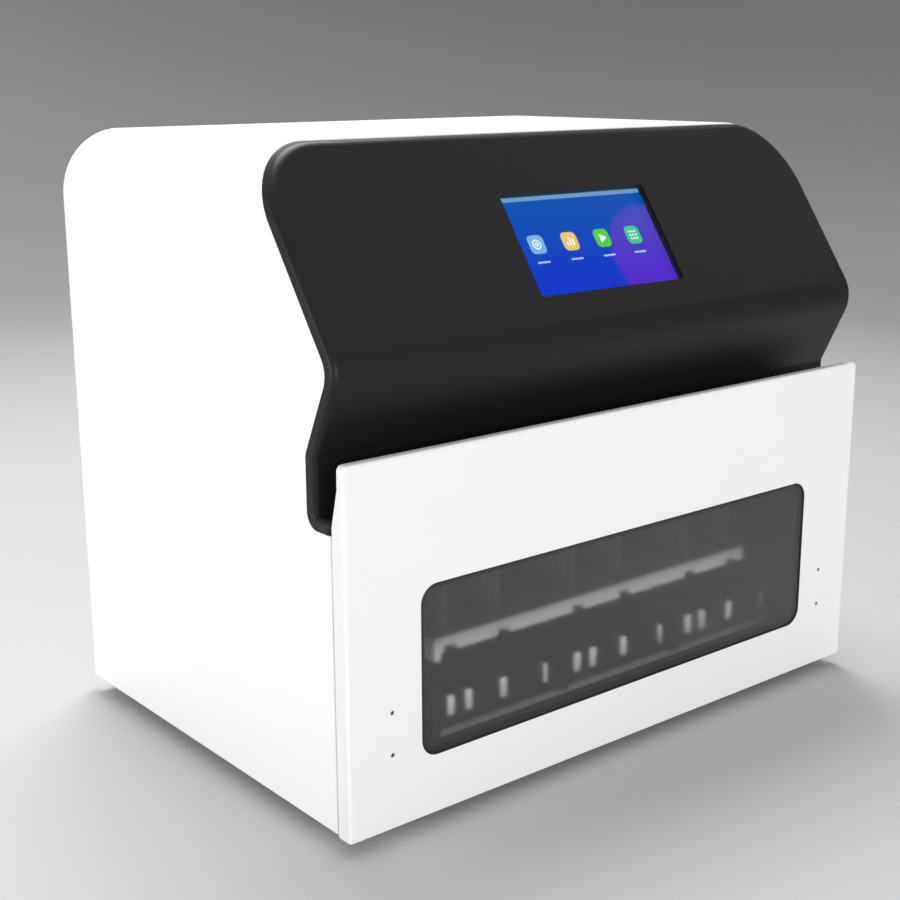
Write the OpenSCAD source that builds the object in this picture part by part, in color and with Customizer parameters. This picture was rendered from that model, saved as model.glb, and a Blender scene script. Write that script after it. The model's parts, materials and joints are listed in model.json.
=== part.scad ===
// Bench instrument that extracts nucleic acids with magnetic rods.
// Three deep-well plate places, six comb places, forty-eight rods.
// The door's front face is at y = 0 and the housing's underside at z = 0
// before stand() puts the whole instrument on the bench.

/* [Housing] */
// Width of the door, the widest piece
door_w = 560; // [550:1:600]
// How far the door stands past the housing on each side
door_overhang = 1.5; // [0.5:0.5:4]
// Depth from the door's front face to the rear edge of the cover
overall_d = 397; // [390:1:440]
// Height of the housing above its underside
housing_h = 482; // [476:1:510]
// Radius of the cover's two long top edges
corner_r = 53; // [40:1:60]
// Sheet thickness of the outer cover
cover_t = 2; // [1.5:0.1:2.5]
// Height of each rubber foot
foot_h = 12; // [9:1:18]
// Diameter of each rubber foot
foot_d = 36; // [28:1:40]
// Distance of each foot's middle from the side and end of the housing
foot_inset = 44; // [36:1:50]
// Sheet thickness of the base plate
base_t = 3; // [2:0.5:4]
// How deep the rear panel sits inside the rear edge of the cover
rear_recess = 8; // [6:1:12]
// Width of the cover's inward flanges
flange_w = 12; // [10:1:16]

/* [Front profile] */
// Height of the cove's floor
cove_floor_z = 223; // [218:1:226]
// Height of the cove's upright wall
cove_wall_h = 52; // [46:1:58]
// Distance of the cove's wall behind the door's front face
cove_y = 45.5; // [43:0.5:46]
// Height of the sharp nose line above the cove's wall
nose_rise = 60; // [52:1:66]
// Distance of the sharp nose line behind the door's front face
nose_y = 17; // [16:0.5:22]
// Distance of the brow's top edge behind the door's front face
brow_y = 119; // [110:1:125]
// Rounding of the nose on the cover's edge
nose_r = 20; // [14:1:26]
// Rounding of the two inner corners of the cove on the cover's edge
cove_r = 12; // [11:0.5:14]
// How far the black fascia stands in front of the cover's edge
fascia_depth = 10; // [9:0.5:11]
// Wall of the fascia
fascia_wall = 3; // [2:0.5:4]
// Height of the cover's edge that shows above the fascia
brow_lip = 1.4; // [0:0.1:1.4]

/* [Display] */
// Width of the lit area
screen_w = 155; // [140:1:165]
// Height of the lit area
screen_h = 87; // [78:1:92]
// Drop from the middle of the screen to the sharp nose line, along the slope
screen_drop = 74; // [68:1:82]
// Thickness of the display's bezel
bezel_t = 2; // [1.5:0.5:3]
// Thickness of the touch glass
glass_t = 1.6; // [1.2:0.2:2.2]
// Thickness of the display module
module_t = 9; // [7:1:12]

/* [Door] */
// Thickness of the door
door_t = 14; // [13:0.5:15]
// Gap between the door and the front frame
door_gap = 3.5; // [3:0.25:4]
// How far the door rises above the cove's floor
door_rise = 52.5; // [48:0.5:58]
// Thickness of the door's lip at the finger grip
grip_t = 7; // [6:0.5:9]
// Height over which the door thins towards its top
grip_h = 45; // [38:1:48]
// Height of the straight lip at the door's top
lip_h = 17; // [12:1:22]
// Rounding of the door's top corners
door_r = 4.5; // [3:0.5:8]
// Width of the window opening
window_w = 430; // [410:1:440]
// Height of the window opening
window_h = 132; // [120:1:140]
// Height of the window's middle
window_z = 111.5; // [106:0.5:116]
// Rounding of the window's corners
window_r = 14.5; // [10:0.5:20]
// Thickness of the window pane
pane_t = 4; // [3:0.5:4.5]
// Visible width of the window gasket
gasket_w = 1.2; // [0.8:0.2:3]
// Ledge behind the pane
ledge_w = 5; // [4:0.5:7]
// Distance of the door screws from the door's side edge
screw_inset = 38.5; // [34:0.5:42]
// Height of the lower door screw
screw_low_z = 57; // [50:1:64]
// Distance between the two door screws of a side
screw_pitch = 32.5; // [28:0.5:44]
// Diameter of the door screws
door_screw_d = 3; // [2.5:0.5:3.5]
// Distance of the latch magnets from the door's side edge
magnet_inset = 22; // [20:0.5:24]
// Distance of the latch magnets below the cove's floor
magnet_drop = 18; // [16:0.5:24]
// Diameter of the latch magnets
magnet_d = 12; // [8:0.5:13]

/* [Hinges] */
// Distance of the hinge's middle from the door's side edge
hinge_inset = 12; // [11:0.5:13]
// Distance of the hinge pin's axis behind the door's front face and above its lower edge
pin_in = 7; // [6.8:0.1:7.2]
// Diameter of the hinge pin
pin_d = 5; // [4:0.5:6]
// Radius of the hinge knuckles
knuckle_r = 5.4; // [5:0.1:5.6]
// Width of a hinge from ear to ear
hinge_w = 16; // [14:1:16]
// Thickness of a hinge ear
ear_t = 3; // [2.5:0.5:3.5]
// Thickness of the hinge leaf
leaf_t = 3; // [2:0.5:4]
// Running clearance between moving flat faces
side_play = 0.5; // [0.4:0.1:0.8]
// Running clearance of a shaft in its bore, on the radius
bore_play = 0.05; // [0.03:0.01:0.08]

/* [Chamber] */
// Half the inner width of the chamber
chamber_half = 240; // [239:1:242]
// Wall of the chamber liner
liner_t = 1.5; // [1:0.5:2]
// Width of the opening in the front frame
mouth_w = 466; // [460:1:470]
// Height of the opening in the front frame
mouth_h = 165; // [160:1:167]
// Height of that opening's lower edge
mouth_low_z = 34; // [32:1:36]
// Distance of the tower plate's front face behind the door's front face
tower_y = 176; // [174:1:180]
// Thickness of the tower plate
tower_t = 6; // [5:1:8]

/* [Plates and combs] */
// Sideways offset of the mechanism from the middle of the housing
mech_x = 10; // [8:1:12]
// Distance between neighbouring plate places
bay_pitch = 135; // [134:0.5:136]
// Distance between neighbouring wells
well_pitch = 9; // [8.8:0.1:9.2]
// Distance of the deck's fins behind the door's front face
fin_y = 46; // [44:1:50]
// Length of the fins from front to rear
fin_len = 76; // [70:1:80]
// Thickness of the three thick fins of a place
fin_t = 7; // [5:0.5:8]
// Thickness of the thin fin of a place
thin_fin_t = 4; // [3:0.5:6]
// Height of the fins above the deck
fin_h = 16; // [12:1:18]
// Thickness of the deck plate
deck_t = 8; // [6:1:9]
// Thickness of the heater block under the deck
heater_t = 6; // [5:1:8]
// Thickness of the deck carriage
carriage_t = 6; // [5:1:8]

/* [Drives] */
// Diameter of the lead screws
screw_d = 8; // [7:0.5:9]
// Height of the rails above what they are fixed to
rail_h = 10; // [9:0.5:11]
// Width of the rails
rail_w = 15; // [13:1:16]
// Height of a runner block over its rail's foot
block_h = 16; // [15:0.5:17]
// Distance between the middles of the two deck rails
deck_rail_pitch = 58; // [54:1:60]
// Distance of the lift rails from the middle of the mechanism
lift_rail_x = 110; // [104:1:114]
// Distance of the deck's runner blocks from the deck's middle
deck_block_x = 130; // [120:1:150]
// Distance between the two runner blocks of a lift rail
lift_block_pitch = 72; // [66:1:76]
// Length of a runner block
block_len = 42; // [38:1:46]
// Thickness of the deck base
deck_base_t = 6; // [5:1:7]
// Lift of the head
lift_stroke = 70; // [50:1:70]
// Travel of the magnet rods
rod_stroke = 38; // [30:1:40]

/* [Head] */
// Width of the comb carrier
carrier_w = 356; // [350:1:362]
// Thickness of the comb carrier
carrier_t = 12; // [10:1:14]
// Height of the comb carrier's underside at its lowest place
carrier_z = 100; // [96:1:104]
// Width of a comb slot
slot_w = 13; // [11:0.5:15]
// Depth of a comb slot
slot_h = 5; // [4:0.5:6]
// Diameter of a magnet rod
rod_d = 5; // [4:0.5:5]
// Diameter of the holes that the rods pass through
rod_hole_d = 6; // [5.8:0.1:6.6]
// Thickness of the rod plate
rod_plate_t = 8; // [6:1:10]
// Diameter of the guide shafts
shaft_d = 10; // [8:1:12]
// Distance of the guide shafts from the middle of the mechanism
guide_x = 110; // [104:1:116]
// Half the width of the head bracket
bracket_half = 140; // [136:1:150]
// Thickness of the head bracket
bracket_t = 6; // [5:0.5:6]
// Height of the head bracket
bracket_h = 150; // [140:1:156]

/* [Electrics] */
// Side of the cooling fan
fan_side = 80; // [70:1:92]
// Depth of the cooling fan
fan_t = 25; // [15:1:32]
// Number of fan blades
blades = 7; // [5:1:9]
// Diameter of the germicidal tube
tube_d = 15; // [13:1:16]
// Length of the germicidal tube
tube_len = 288; // [212:1:320]
// Size of the square lift and rod motors
motor_w = 42; // [38:1:42]
// Height of the lift and rod motors
motor_h = 34; // [28:1:40]
// Size of the square deck motor
small_motor_w = 28; // [26:1:30]
// Width of the power supply
supply_w = 98; // [85:1:102]
// Length of the power supply from front to rear
supply_len = 160; // [130:1:165]
// Height of the power supply
supply_h = 42; // [35:1:50]
// Gap between the power supply and the side of the cover
supply_gap = 21.5; // [15:0.5:24]
// Width of the control board
board_w = 180; // [170:1:185]
// Length of the control board from front to rear
board_len = 140; // [136:1:160]
// Height of the control board above the base plate
spacer_h = 10; // [6:1:14]

/* [Rear panel] */
// Sideways place of the cooling fan
fan_x = -130; // [-150:1:-110]
// Distance of the fan's middle below the top of the housing
fan_drop = 132; // [120:1:150]
// Sideways place of the air slots
vent_x = 150; // [130:1:160]
// Distance of the highest air slot below the top of the housing
vent_drop = 70; // [60:1:80]
// Length of the air slots
vent_len = 120; // [90:1:125]
// Height of an air slot
vent_h = 5; // [4:0.5:6]
// Distance between neighbouring air slots
vent_pitch = 14; // [10:1:16]
// Number of air slots
vent_count = 9; // [6:1:10]
// Sideways place of the mains inlet and the power switch
inlet_x = 205; // [195:1:215]
// Height of the mains inlet and the data sockets
inlet_z = 45; // [40:1:50]
// Height of the power switch
switch_z = 90; // [84:1:100]
// Sideways place of the data sockets
socket_x = 120; // [100:1:130]

/* [Hidden] */
$fn = 64;

// A cut runs this far past the face that it opens
past = 1;
// Fixed pieces that stand beside each other keep this gap
fit = 0.3;
arc_steps = 10;

body_w = door_w - 2 * door_overhang;
half_w = body_w / 2;
inner_half = half_w - cover_t;
front_y = door_t + door_gap;
front_t = 2;
rear_y = overall_d - rear_recess;
panel_t = 2;
panel_y = rear_y - panel_t;
door_h = cove_floor_z + door_rise;
cove_top_z = cove_floor_z + cove_wall_h;
nose_z = cove_top_z + nose_rise;
slope_deg = atan((brow_y - nose_y) / (housing_h - nose_z));
base_top = cover_t + base_t;
tower_back = tower_y + tower_t;

// Heights of the deck, from the base plate upwards
deck_base_top = base_top + deck_base_t;
carriage_z = deck_base_top + block_h;
heater_z = carriage_z + carriage_t;
deck_z = heater_z + heater_t;
deck_top = deck_z + deck_t;
fin_top = deck_top + fin_h;
deck_screw_z = carriage_z - screw_d / 2 - 2.5;
plate_mid_y = fin_y + fin_len / 2 + 3;
deck_x = mech_x + 2.5 * well_pitch;
carriage_half = 1.5 * bay_pitch - 7.5;
deck_half = 1.5 * bay_pitch + 2;
deck_travel = 5 * well_pitch;
rail_ys = [plate_mid_y - deck_rail_pitch / 2, plate_mid_y + deck_rail_pitch / 2];
rail_end_gap = 15;

// Heights and depths of the head
carrier_top = carrier_z + carrier_t;
bushing_reach = 10;
rod_plate_z = carrier_top + rod_stroke + bushing_reach + 12;
shelf_z = carrier_top + bracket_h;
lift_rail_y = tower_y - rail_h - 2.5;
block_front_y = tower_y - block_h;
bracket_y = block_front_y - bracket_t;
lift_screw_y = tower_y - 9;
shaft_y = bracket_y - 17;
rod_front_y = plate_mid_y - 3.5 * well_pitch;
shelf_t = 6;
lift_room = 2;
tower_top_z = shelf_z + shelf_t + motor_h + lift_stroke + lift_room;
coupling_len = 22;
coupling_z = tower_top_z - coupling_len - 4;

function unit(v) = v / norm(v);
function out_normal(a, b) = let (d = unit(b - a)) [d[1], -d[0]];
function miter(a, p, b, t) =
  let (n = out_normal(a, p), m = out_normal(p, b)) p + t * (n + m) / (1 + n * m);

fascia_top = housing_h - brow_lip;

// The cover's front edge in side view, from the brow down to the front frame
edge_path = [
  [brow_y, housing_h], [nose_y, nose_z], [cove_y, cove_top_z],
  [cove_y, cove_floor_z], [front_y, cove_floor_z]
];
// The same path, moved outwards by t and ended at end_y
function moved_path(t, end_y) =
  let (p = edge_path, n = out_normal(p[0], p[1]))
  [
    p[0] + [t / n[0], 0],
    miter(p[0], p[1], p[2], t),
    miter(p[1], p[2], p[3], t),
    miter(p[2], p[3], p[4], t),
    [end_y, cove_floor_z + t]
  ];
function corner(a, p, b, r) =
  let (
    u = unit(a - p), v = unit(b - p), angle = acos(u * v),
    centre = p + unit(u + v) * r / sin(angle / 2),
    from = p + u * r / tan(angle / 2) - centre,
    to = p + v * r / tan(angle / 2) - centre,
    start = atan2(from[1], from[0]),
    turn = (atan2(to[1], to[0]) - start + 540) % 360 - 180
  )
  [for (i = [0:arc_steps]) let (a = start + turn * i / arc_steps) centre + r * [cos(a), sin(a)]];
function rounded_path(p, t) = concat(
  [p[0]],
  corner(p[0], p[1], p[2], nose_r + t),
  corner(p[1], p[2], p[3], cove_r - t),
  corner(p[2], p[3], p[4], cove_r - t),
  [p[4]]
);
function profile(t, end_y) = rounded_path(moved_path(t, end_y), t);
function reversed(list) = [for (i = [len(list) - 1:-1:0]) list[i]];

function comb_x(bay, side) = mech_x + (bay - 1) * bay_pitch + (side - 0.5) * 6 * well_pitch;
function bay_x(bay) = deck_x + (bay - 1) * bay_pitch;
fin_columns = [0, 2, 6, 11];
function fin_x(bay, i) = bay_x(bay) + (fin_columns[i] - 5.5) * well_pitch;
function fin_width(i) = i == 3 ? thin_fin_t : fin_t;

module stand() translate([0, -overall_d / 2, foot_h]) children();
module along_x(x0, x1) translate([x0, 0, 0]) rotate([90, 0, 90]) linear_extrude(x1 - x0) children();
module along_y(y0, y1) translate([0, y1, 0]) rotate([90, 0, 0]) linear_extrude(y1 - y0) children();
module sides() {
  children();
  mirror([1, 0, 0]) children();
}
module box(x0, x1, y0, y1, z0, z1) translate([x0, y0, z0]) cube([x1 - x0, y1 - y0, z1 - z0]);
module post(x, y, z0, z1, d) translate([x, y, z0]) cylinder(d = d, h = z1 - z0);
module bar_x(y, z, x0, x1, d) translate([x0, y, z]) rotate([0, 90, 0]) cylinder(d = d, h = x1 - x0);
module bar_y(x, z, y0, y1, d) translate([x, y0, z]) rotate([-90, 0, 0]) cylinder(d = d, h = y1 - y0);

module rounded_rect(w, h, r) {
  square([w - 2 * r, h], center = true);
  square([w, h - 2 * r], center = true);
  for (x = [-1, 1], y = [-1, 1]) translate([x * (w / 2 - r), y * (h / 2 - r)]) circle(r);
}

// Outline with two round top corners, as seen from the front
module arch(w, top, r, low = 0) {
  translate([-w / 2, low]) square([w, top - r - low]);
  translate([-w / 2 + r, low]) square([w - 2 * r, top - low]);
  for (x = [-1, 1]) translate([x * (w / 2 - r), top - r]) circle(r);
}

// Frame in the middle of the screen on the fascia's sloping face, +Y up the slope and +Z outwards
module on_slope() translate([0, nose_y, nose_z]) rotate([90 - slope_deg, 0, 0])
  translate([0, screen_drop, fascia_depth]) children();

// ---- Housing ----

supply_x0 = supply_gap - inner_half;
supply_x1 = supply_x0 + supply_w;
supply_y0 = tower_back + 20;

module outer_cover() color("white") stand() {
  intersection() {
    along_y(front_y, overall_d) difference() {
      arch(body_w, housing_h, corner_r);
      arch(body_w - 2 * cover_t, housing_h - cover_t, corner_r - cover_t, -past);
    }
    along_x(-door_w, door_w) polygon(concat(
      profile(0, front_y), [[front_y, 0], [overall_d, 0], [overall_d, housing_h]]
    ));
  }
  sides() box(
    inner_half - flange_w, half_w - cover_t / 2, front_y + front_t + fit, panel_y - 2 * cover_t, 0, cover_t
  );
  along_y(panel_y - cover_t, panel_y) difference() {
    arch(body_w - cover_t, housing_h - cover_t / 2, corner_r - cover_t / 2, base_top);
    arch(2 * (inner_half - flange_w), housing_h - cover_t - flange_w, corner_r - cover_t - flange_w, 0);
  }
}

module base_plate() color("lightgray") stand() difference() {
  box(fit - inner_half, inner_half - fit, front_y + front_t + fit, panel_y - cover_t - fit, cover_t, base_top);
  for (y = [23:16:supply_len - 50])
    box(supply_x0 + 15, supply_x1 - 8, supply_y0 + y, supply_y0 + y + 6, 0, base_top + past);
}

module rear_panel() color("whitesmoke") stand() difference() {
  along_y(panel_y, rear_y) arch(
    body_w - 2 * cover_t - 2 * fit, housing_h - cover_t - fit, corner_r - cover_t - fit, 0
  );
  for (i = [0:vent_count - 1]) along_y(panel_y - past, rear_y + past)
    translate([vent_x, housing_h - vent_drop - vent_pitch * i])
      rounded_rect(vent_len, vent_h, vent_h / 2 - 0.1);
  bar_y(fan_x, fan_z, panel_y - past, rear_y + past, fan_side - 6);
  box(inlet_x - 14, inlet_x + 14, panel_y - past, rear_y + past, inlet_z - 10, inlet_z + 10);
  box(inlet_x - 11, inlet_x + 11, panel_y - past, rear_y + past, switch_z - 14, switch_z + 14);
  box(socket_x - 7.5, socket_x + 7.5, panel_y - past, rear_y + past, inlet_z - 8, inlet_z + 8);
  box(socket_x + 18.5, socket_x + 34.5, panel_y - past, rear_y + past, inlet_z - 7, inlet_z + 7);
}

frame_top = cove_floor_z - fit;
mouth_z = mouth_low_z + mouth_h / 2;
notch_half = hinge_w / 2 + side_play;
hinge_x = door_w / 2 - hinge_inset;
module front_frame() color("white") stand() difference() {
  box(-inner_half + fit, inner_half - fit, front_y, front_y + front_t, 0, frame_top);
  along_y(0, front_y + front_t + past) translate([0, mouth_z]) rounded_rect(mouth_w, mouth_h, 12);
  sides() box(hinge_x - notch_half, hinge_x + notch_half, 0, front_y + front_t + past, -past, 2 * pin_in + 3);
  sides() bar_y(magnet_x, magnet_z, 0, front_y + front_t + past, magnet_d + 2 * fit);
}

module front_fascia() color("dimgray") stand() difference() {
  union() {
    intersection() {
      along_x(-half_w, half_w) polygon(concat(profile(fascia_depth, front_y), reversed(profile(0, front_y))));
      along_y(-fascia_depth, overall_d) arch(body_w, fascia_top, corner_r);
    }
    on_slope() tab_corners(-module_back) cylinder(d = 8, h = module_back - fascia_wall / 2);
  }
  difference() {
    intersection() {
      along_x(fascia_wall - half_w, half_w - fascia_wall) polygon(concat(
        profile(fascia_depth - fascia_wall, front_y + fascia_wall),
        reversed(profile(-1, front_y + fascia_wall))
      ));
      along_y(0, overall_d) arch(body_w - 2 * fascia_wall, fascia_top - fascia_wall, corner_r - fascia_wall);
    }
    on_slope() tab_corners(-module_back) cylinder(d = 8, h = module_back);
  }
  on_slope() translate([0, 0, -fascia_wall - past])
    linear_extrude(fascia_wall + 2 * past) rounded_rect(screen_w, screen_h, screen_r);
}

// ---- Display ----

screen_r = 2;
tab_w = 20;
tab_t = 2;
// Copies at the four corners where the module's mounting tabs are screwed to the fascia
module tab_corners(z) for (x = [-1, 1], y = [-1, 1])
  translate([x * (screen_w / 2 + tab_w - 6), y * (screen_h / 2 - 8), z]) children();

bezel_back = fascia_wall + bezel_t;
glass_back = bezel_back + glass_t;
module_back = glass_back + module_t;
module display_bezel() color("black") stand() on_slope() translate([0, 0, -bezel_back])
  linear_extrude(bezel_t) difference() {
    rounded_rect(screen_w + 16, screen_h + 12, 3);
    rounded_rect(screen_w, screen_h, screen_r);
  }

module touch_glass() color("darkslategray") stand() on_slope() translate([0, 0, -glass_back])
  linear_extrude(glass_t) rounded_rect(screen_w + 14, screen_h + 10, 3);

module display_module() color("slategray") stand() on_slope() {
  translate([0, 0, -module_back]) linear_extrude(module_t) rounded_rect(screen_w + 12, screen_h + 8, 2);
  difference() {
    translate([0, 0, -module_back - tab_t]) linear_extrude(tab_t)
      square([screen_w + 2 * tab_w, screen_h - 6], center = true);
    tab_corners(-module_back - tab_t - past) cylinder(d = 3.4, h = tab_t + 2 * past);
  }
}

module liner_side() along_x(chamber_half, chamber_half + liner_t) polygon([
  [front_y + front_t, base_top], [front_y + front_t, liner_top], [cove_y + 1, liner_top],
  [cove_y + 9, cove_top_z], [brow_y, cove_top_z + 60], [tower_y, cove_top_z + 60], [tower_y, base_top]
]);
liner_top = cove_floor_z - 5;
module chamber_liner() color("dimgray") stand() difference() {
  union() {
    sides() liner_side();
    box(-chamber_half, chamber_half, front_y + front_t, cove_y, liner_top - liner_t, liner_top);
  }
  bar_x(plate_mid_y, deck_screw_z, chamber_half - past, chamber_half + liner_t + past, small_motor_w - 8);
}

module tower_plate() color("dimgray") stand() difference() {
  box(-chamber_half - liner_t, chamber_half + liner_t, tower_y, tower_back, base_top, tower_top_z);
  for (side = [-1, 1], i = [0:4])
    along_y(tower_y - past, tower_back + past) translate([mech_x + side * (chamber_half - 55), 190 + 24 * i])
      rounded_rect(60, 8, 3.9);
}

foot_x = half_w - foot_inset;
foot_ys = [front_y + foot_inset, overall_d - foot_inset];
module rubber_feet() color("black") stand() for (x = [-foot_x, foot_x], y = foot_ys)
  difference() {
    union() {
      translate([x, y, -foot_h]) cylinder(d1 = foot_d - 3, d2 = foot_d, h = foot_h);
      post(x, y, 0, cover_t, foot_d - 8);
    }
    post(x, y, -foot_h - past, -foot_h / 2, 12);
  }

module door_seal() color("black") stand() along_y(door_t + 0.5, front_y) difference() {
  translate([0, mouth_z]) rounded_rect(mouth_w + 12, mouth_h + 12, 16);
  translate([0, mouth_z]) rounded_rect(mouth_w, mouth_h, 12);
}

magnet_x = door_w / 2 - magnet_inset;
magnet_z = cove_floor_z - magnet_drop;
module latch_magnets() color("silver") stand() sides()
  bar_y(magnet_x, magnet_z, door_t + fit, front_y + front_t + 3, magnet_d);

// ---- Hinges ----

hinge_reach = 26;
module hinge_brackets() color("darkgray") stand() sides() difference() {
  union() {
    for (x = [hinge_x - hinge_w / 2, hinge_x + hinge_w / 2 - ear_t]) {
      bar_x(pin_in, pin_in, x, x + ear_t, 2 * knuckle_r);
      box(x, x + ear_t, pin_in, front_y + hinge_reach, pin_in - knuckle_r, pin_in + knuckle_r);
    }
    box(
      hinge_x - hinge_w / 2, hinge_x + hinge_w / 2,
      front_y + 2 * ear_t, front_y + hinge_reach, base_top, pin_in + knuckle_r
    );
  }
  bar_x(pin_in, pin_in, hinge_x - hinge_w, hinge_x + hinge_w, pin_d + 2 * bore_play);
  box(hinge_x - hinge_w, hinge_x + hinge_w, front_y + front_t, front_y + hinge_reach + past, 0, base_top);
}

module hinge_pins() color("silver") stand() sides()
  bar_x(pin_in, pin_in, hinge_x - hinge_w / 2, hinge_x + hinge_w / 2, pin_d);

screw_x = door_w / 2 - screw_inset;
screw_zs = [screw_low_z, screw_low_z + screw_pitch];
screw_hole_d = door_screw_d + 0.4;
leaf_w = hinge_w - 2 * ear_t - 2 * side_play;
// Plate of the leaf behind the door screws, a gap wider all round
module leaf_plate(y1, gap) {
  box(hinge_x - leaf_w / 2 - gap, hinge_x + leaf_w / 2 + gap, door_t - leaf_t, y1, pin_in, screw_low_z);
  box(
    screw_x - 2 * door_screw_d - gap, hinge_x + leaf_w / 2 + gap, door_t - leaf_t, y1,
    screw_zs[0] - 3 * door_screw_d - gap, screw_zs[1] + 3 * door_screw_d + gap
  );
}
module hinge_leaves() color("darkgray") stand() sides() difference() {
  union() {
    bar_x(pin_in, pin_in, hinge_x - leaf_w / 2, hinge_x + leaf_w / 2, 2 * knuckle_r);
    box(hinge_x - leaf_w / 2, hinge_x + leaf_w / 2, pin_in, door_t, pin_in, pin_in + knuckle_r);
    leaf_plate(door_t, 0);
  }
  bar_x(pin_in, pin_in, hinge_x - hinge_w, hinge_x + hinge_w, pin_d + 2 * bore_play);
  for (z = screw_zs) bar_y(screw_x, z, 0, door_t + past, screw_hole_d);
}

// ---- Door ----

// How deep the screw heads and the pane lie in the door's front face
screw_sink = 0.2;
pane_y = 1.2;
rebate_t = pane_y + pane_t + 1;
module door_outline() {
  translate([-door_w / 2, 0]) square([door_w, door_h - door_r]);
  translate([-door_w / 2 + door_r, 0]) square([door_w - 2 * door_r, door_h]);
  for (x = [-1, 1]) translate([x * (door_w / 2 - door_r), door_h - door_r]) circle(door_r);
}

module door_panel() color("whitesmoke") stand() difference() {
  intersection() {
    along_y(0, door_t) door_outline();
    along_x(-door_w, door_w) polygon([
      [0, 0], [door_t, 0], [door_t, door_h - grip_h], [grip_t, door_h - lip_h], [grip_t, door_h], [0, door_h]
    ]);
  }
  along_y(-past, rebate_t) translate([0, window_z]) rounded_rect(window_w, window_h, window_r);
  along_y(0, door_t + past) translate([0, window_z])
    rounded_rect(window_w - 2 * ledge_w, window_h - 2 * ledge_w, window_r - ledge_w);
  sides() {
    box(
      hinge_x - notch_half, hinge_x + notch_half,
      pin_in - knuckle_r - side_play, door_t + past, -past, 2 * pin_in + side_play
    );
    leaf_plate(door_t + past, fit);
    for (z = screw_zs) bar_y(screw_x, z, -past, door_t, screw_hole_d);
    bar_y(magnet_x, magnet_z, door_t - 2, door_t + past, magnet_d + 4 + 2 * fit);
  }
}

module window_pane() color("dimgray") stand() along_y(pane_y, pane_y + pane_t) translate([0, window_z])
  rounded_rect(window_w - 2 * gasket_w, window_h - 2 * gasket_w, window_r - gasket_w);

module window_gasket() color("black") stand() translate([0, 0, window_z]) difference() {
  along_y(0.6, rebate_t) rounded_rect(window_w, window_h, window_r);
  along_y(0, pane_y + pane_t)
    rounded_rect(window_w - 2 * gasket_w, window_h - 2 * gasket_w, window_r - gasket_w);
  along_y(0, rebate_t + past)
    rounded_rect(window_w - 2 * ledge_w, window_h - 2 * ledge_w, window_r - ledge_w);
}

module door_screws() color("dimgray") stand() sides() for (z = screw_zs)
  bar_y(screw_x, z, screw_sink, door_t, door_screw_d);

module strike_plates() color("silver") stand() sides()
  bar_y(magnet_x, magnet_z, door_t - 2, door_t, magnet_d + 4);

// ---- Deck and its drive ----

module deck_base() color("darkgray") stand() difference() {
  box(
    2 - chamber_half, chamber_half - 2,
    rail_ys[0] - rail_w + 1, rail_ys[1] + rail_w - 1, base_top, deck_base_top
  );
  for (x = [-150, 0, 150]) translate([x, plate_mid_y, base_top - past])
    linear_extrude(deck_base_t + 2 * past) square([100, 26], center = true);
}

// Outline of a rail: a narrow waist under the head that the runner blocks hold
module rail_profile() {
  translate([-rail_w / 2 + 1, 0]) square([rail_w - 2, rail_h]);
  translate([-rail_w / 2, rail_h - 4]) square([rail_w, 3]);
  translate([-rail_w / 2, 0]) square([rail_w, rail_h - 5.5]);
}

module block_profile() difference() {
  translate([-rail_w / 2 - 8.5, 3.5]) square([rail_w + 17, block_h - 3.5]);
  translate([-rail_w / 2 - fit, 0]) square([rail_w + 2 * fit, rail_h + fit]);
}

module deck_rails() color("silver") stand() for (y = rail_ys) difference() {
  translate([0, y, deck_base_top])
    along_x(rail_end_gap - chamber_half, chamber_half - rail_end_gap) rail_profile();
  for (i = [-4:4]) {
    post(i * 50, y, deck_base_top - past, deck_base_top + rail_h + past, 3.6);
    post(i * 50, y, deck_base_top + rail_h - 4, deck_base_top + rail_h + past, 6.5);
  }
}

module deck_blocks() color("dimgray") stand() for (side = [-1, 1], y = rail_ys)
  translate([deck_x + side * deck_block_x, y, deck_base_top])
    along_x(-block_len / 2, block_len / 2) block_profile();

bearing_w = 28;
deck_screw_x0 = 12 - chamber_half;
module deck_screw() color("silver") stand() {
  bar_x(plate_mid_y, deck_screw_z, deck_screw_x0, chamber_half - fit, screw_d);
  bar_x(plate_mid_y, deck_screw_z, chamber_half - 5, chamber_half + liner_t + 5, 5);
  bar_x(plate_mid_y, deck_screw_z, deck_screw_x0 - 4, deck_screw_x0, screw_d - 2);
}

module deck_bearing() color("dimgray") stand() difference() {
  box(
    deck_screw_x0 - screw_d, deck_screw_x0 - fit,
    plate_mid_y - bearing_w / 2, plate_mid_y + bearing_w / 2, deck_base_top, deck_screw_z + screw_d
  );
  bar_x(plate_mid_y, deck_screw_z, deck_screw_x0 - 9, deck_screw_x0, screw_d - 2 + 2 * bore_play);
}

module deck_motor() color("black") stand() difference() {
  translate([chamber_half + liner_t, plate_mid_y, deck_screw_z]) along_x(0, small_motor_w + 2)
    rounded_rect(small_motor_w, small_motor_w, 3);
  bar_x(plate_mid_y, deck_screw_z, chamber_half, chamber_half + liner_t + 6, 5 + 2 * bore_play);
}

module deck_carriage() color("lightgray") stand() difference() {
  box(deck_x - carriage_half, deck_x + carriage_half, fin_y, fin_y + fin_len + 6, carriage_z, heater_z);
  for (x = [-65, 65]) translate([deck_x + x, plate_mid_y, carriage_z - past])
    linear_extrude(carriage_t + 2 * past) rounded_rect(70, 40, 6);
}

module deck_nut() color("gold") stand() difference() {
  box(deck_x - 12, deck_x + 12, plate_mid_y - 10, plate_mid_y + 10, deck_screw_z - 7, carriage_z);
  bar_x(plate_mid_y, deck_screw_z, deck_x - 13, deck_x + 13, screw_d + 2 * bore_play);
}

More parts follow.
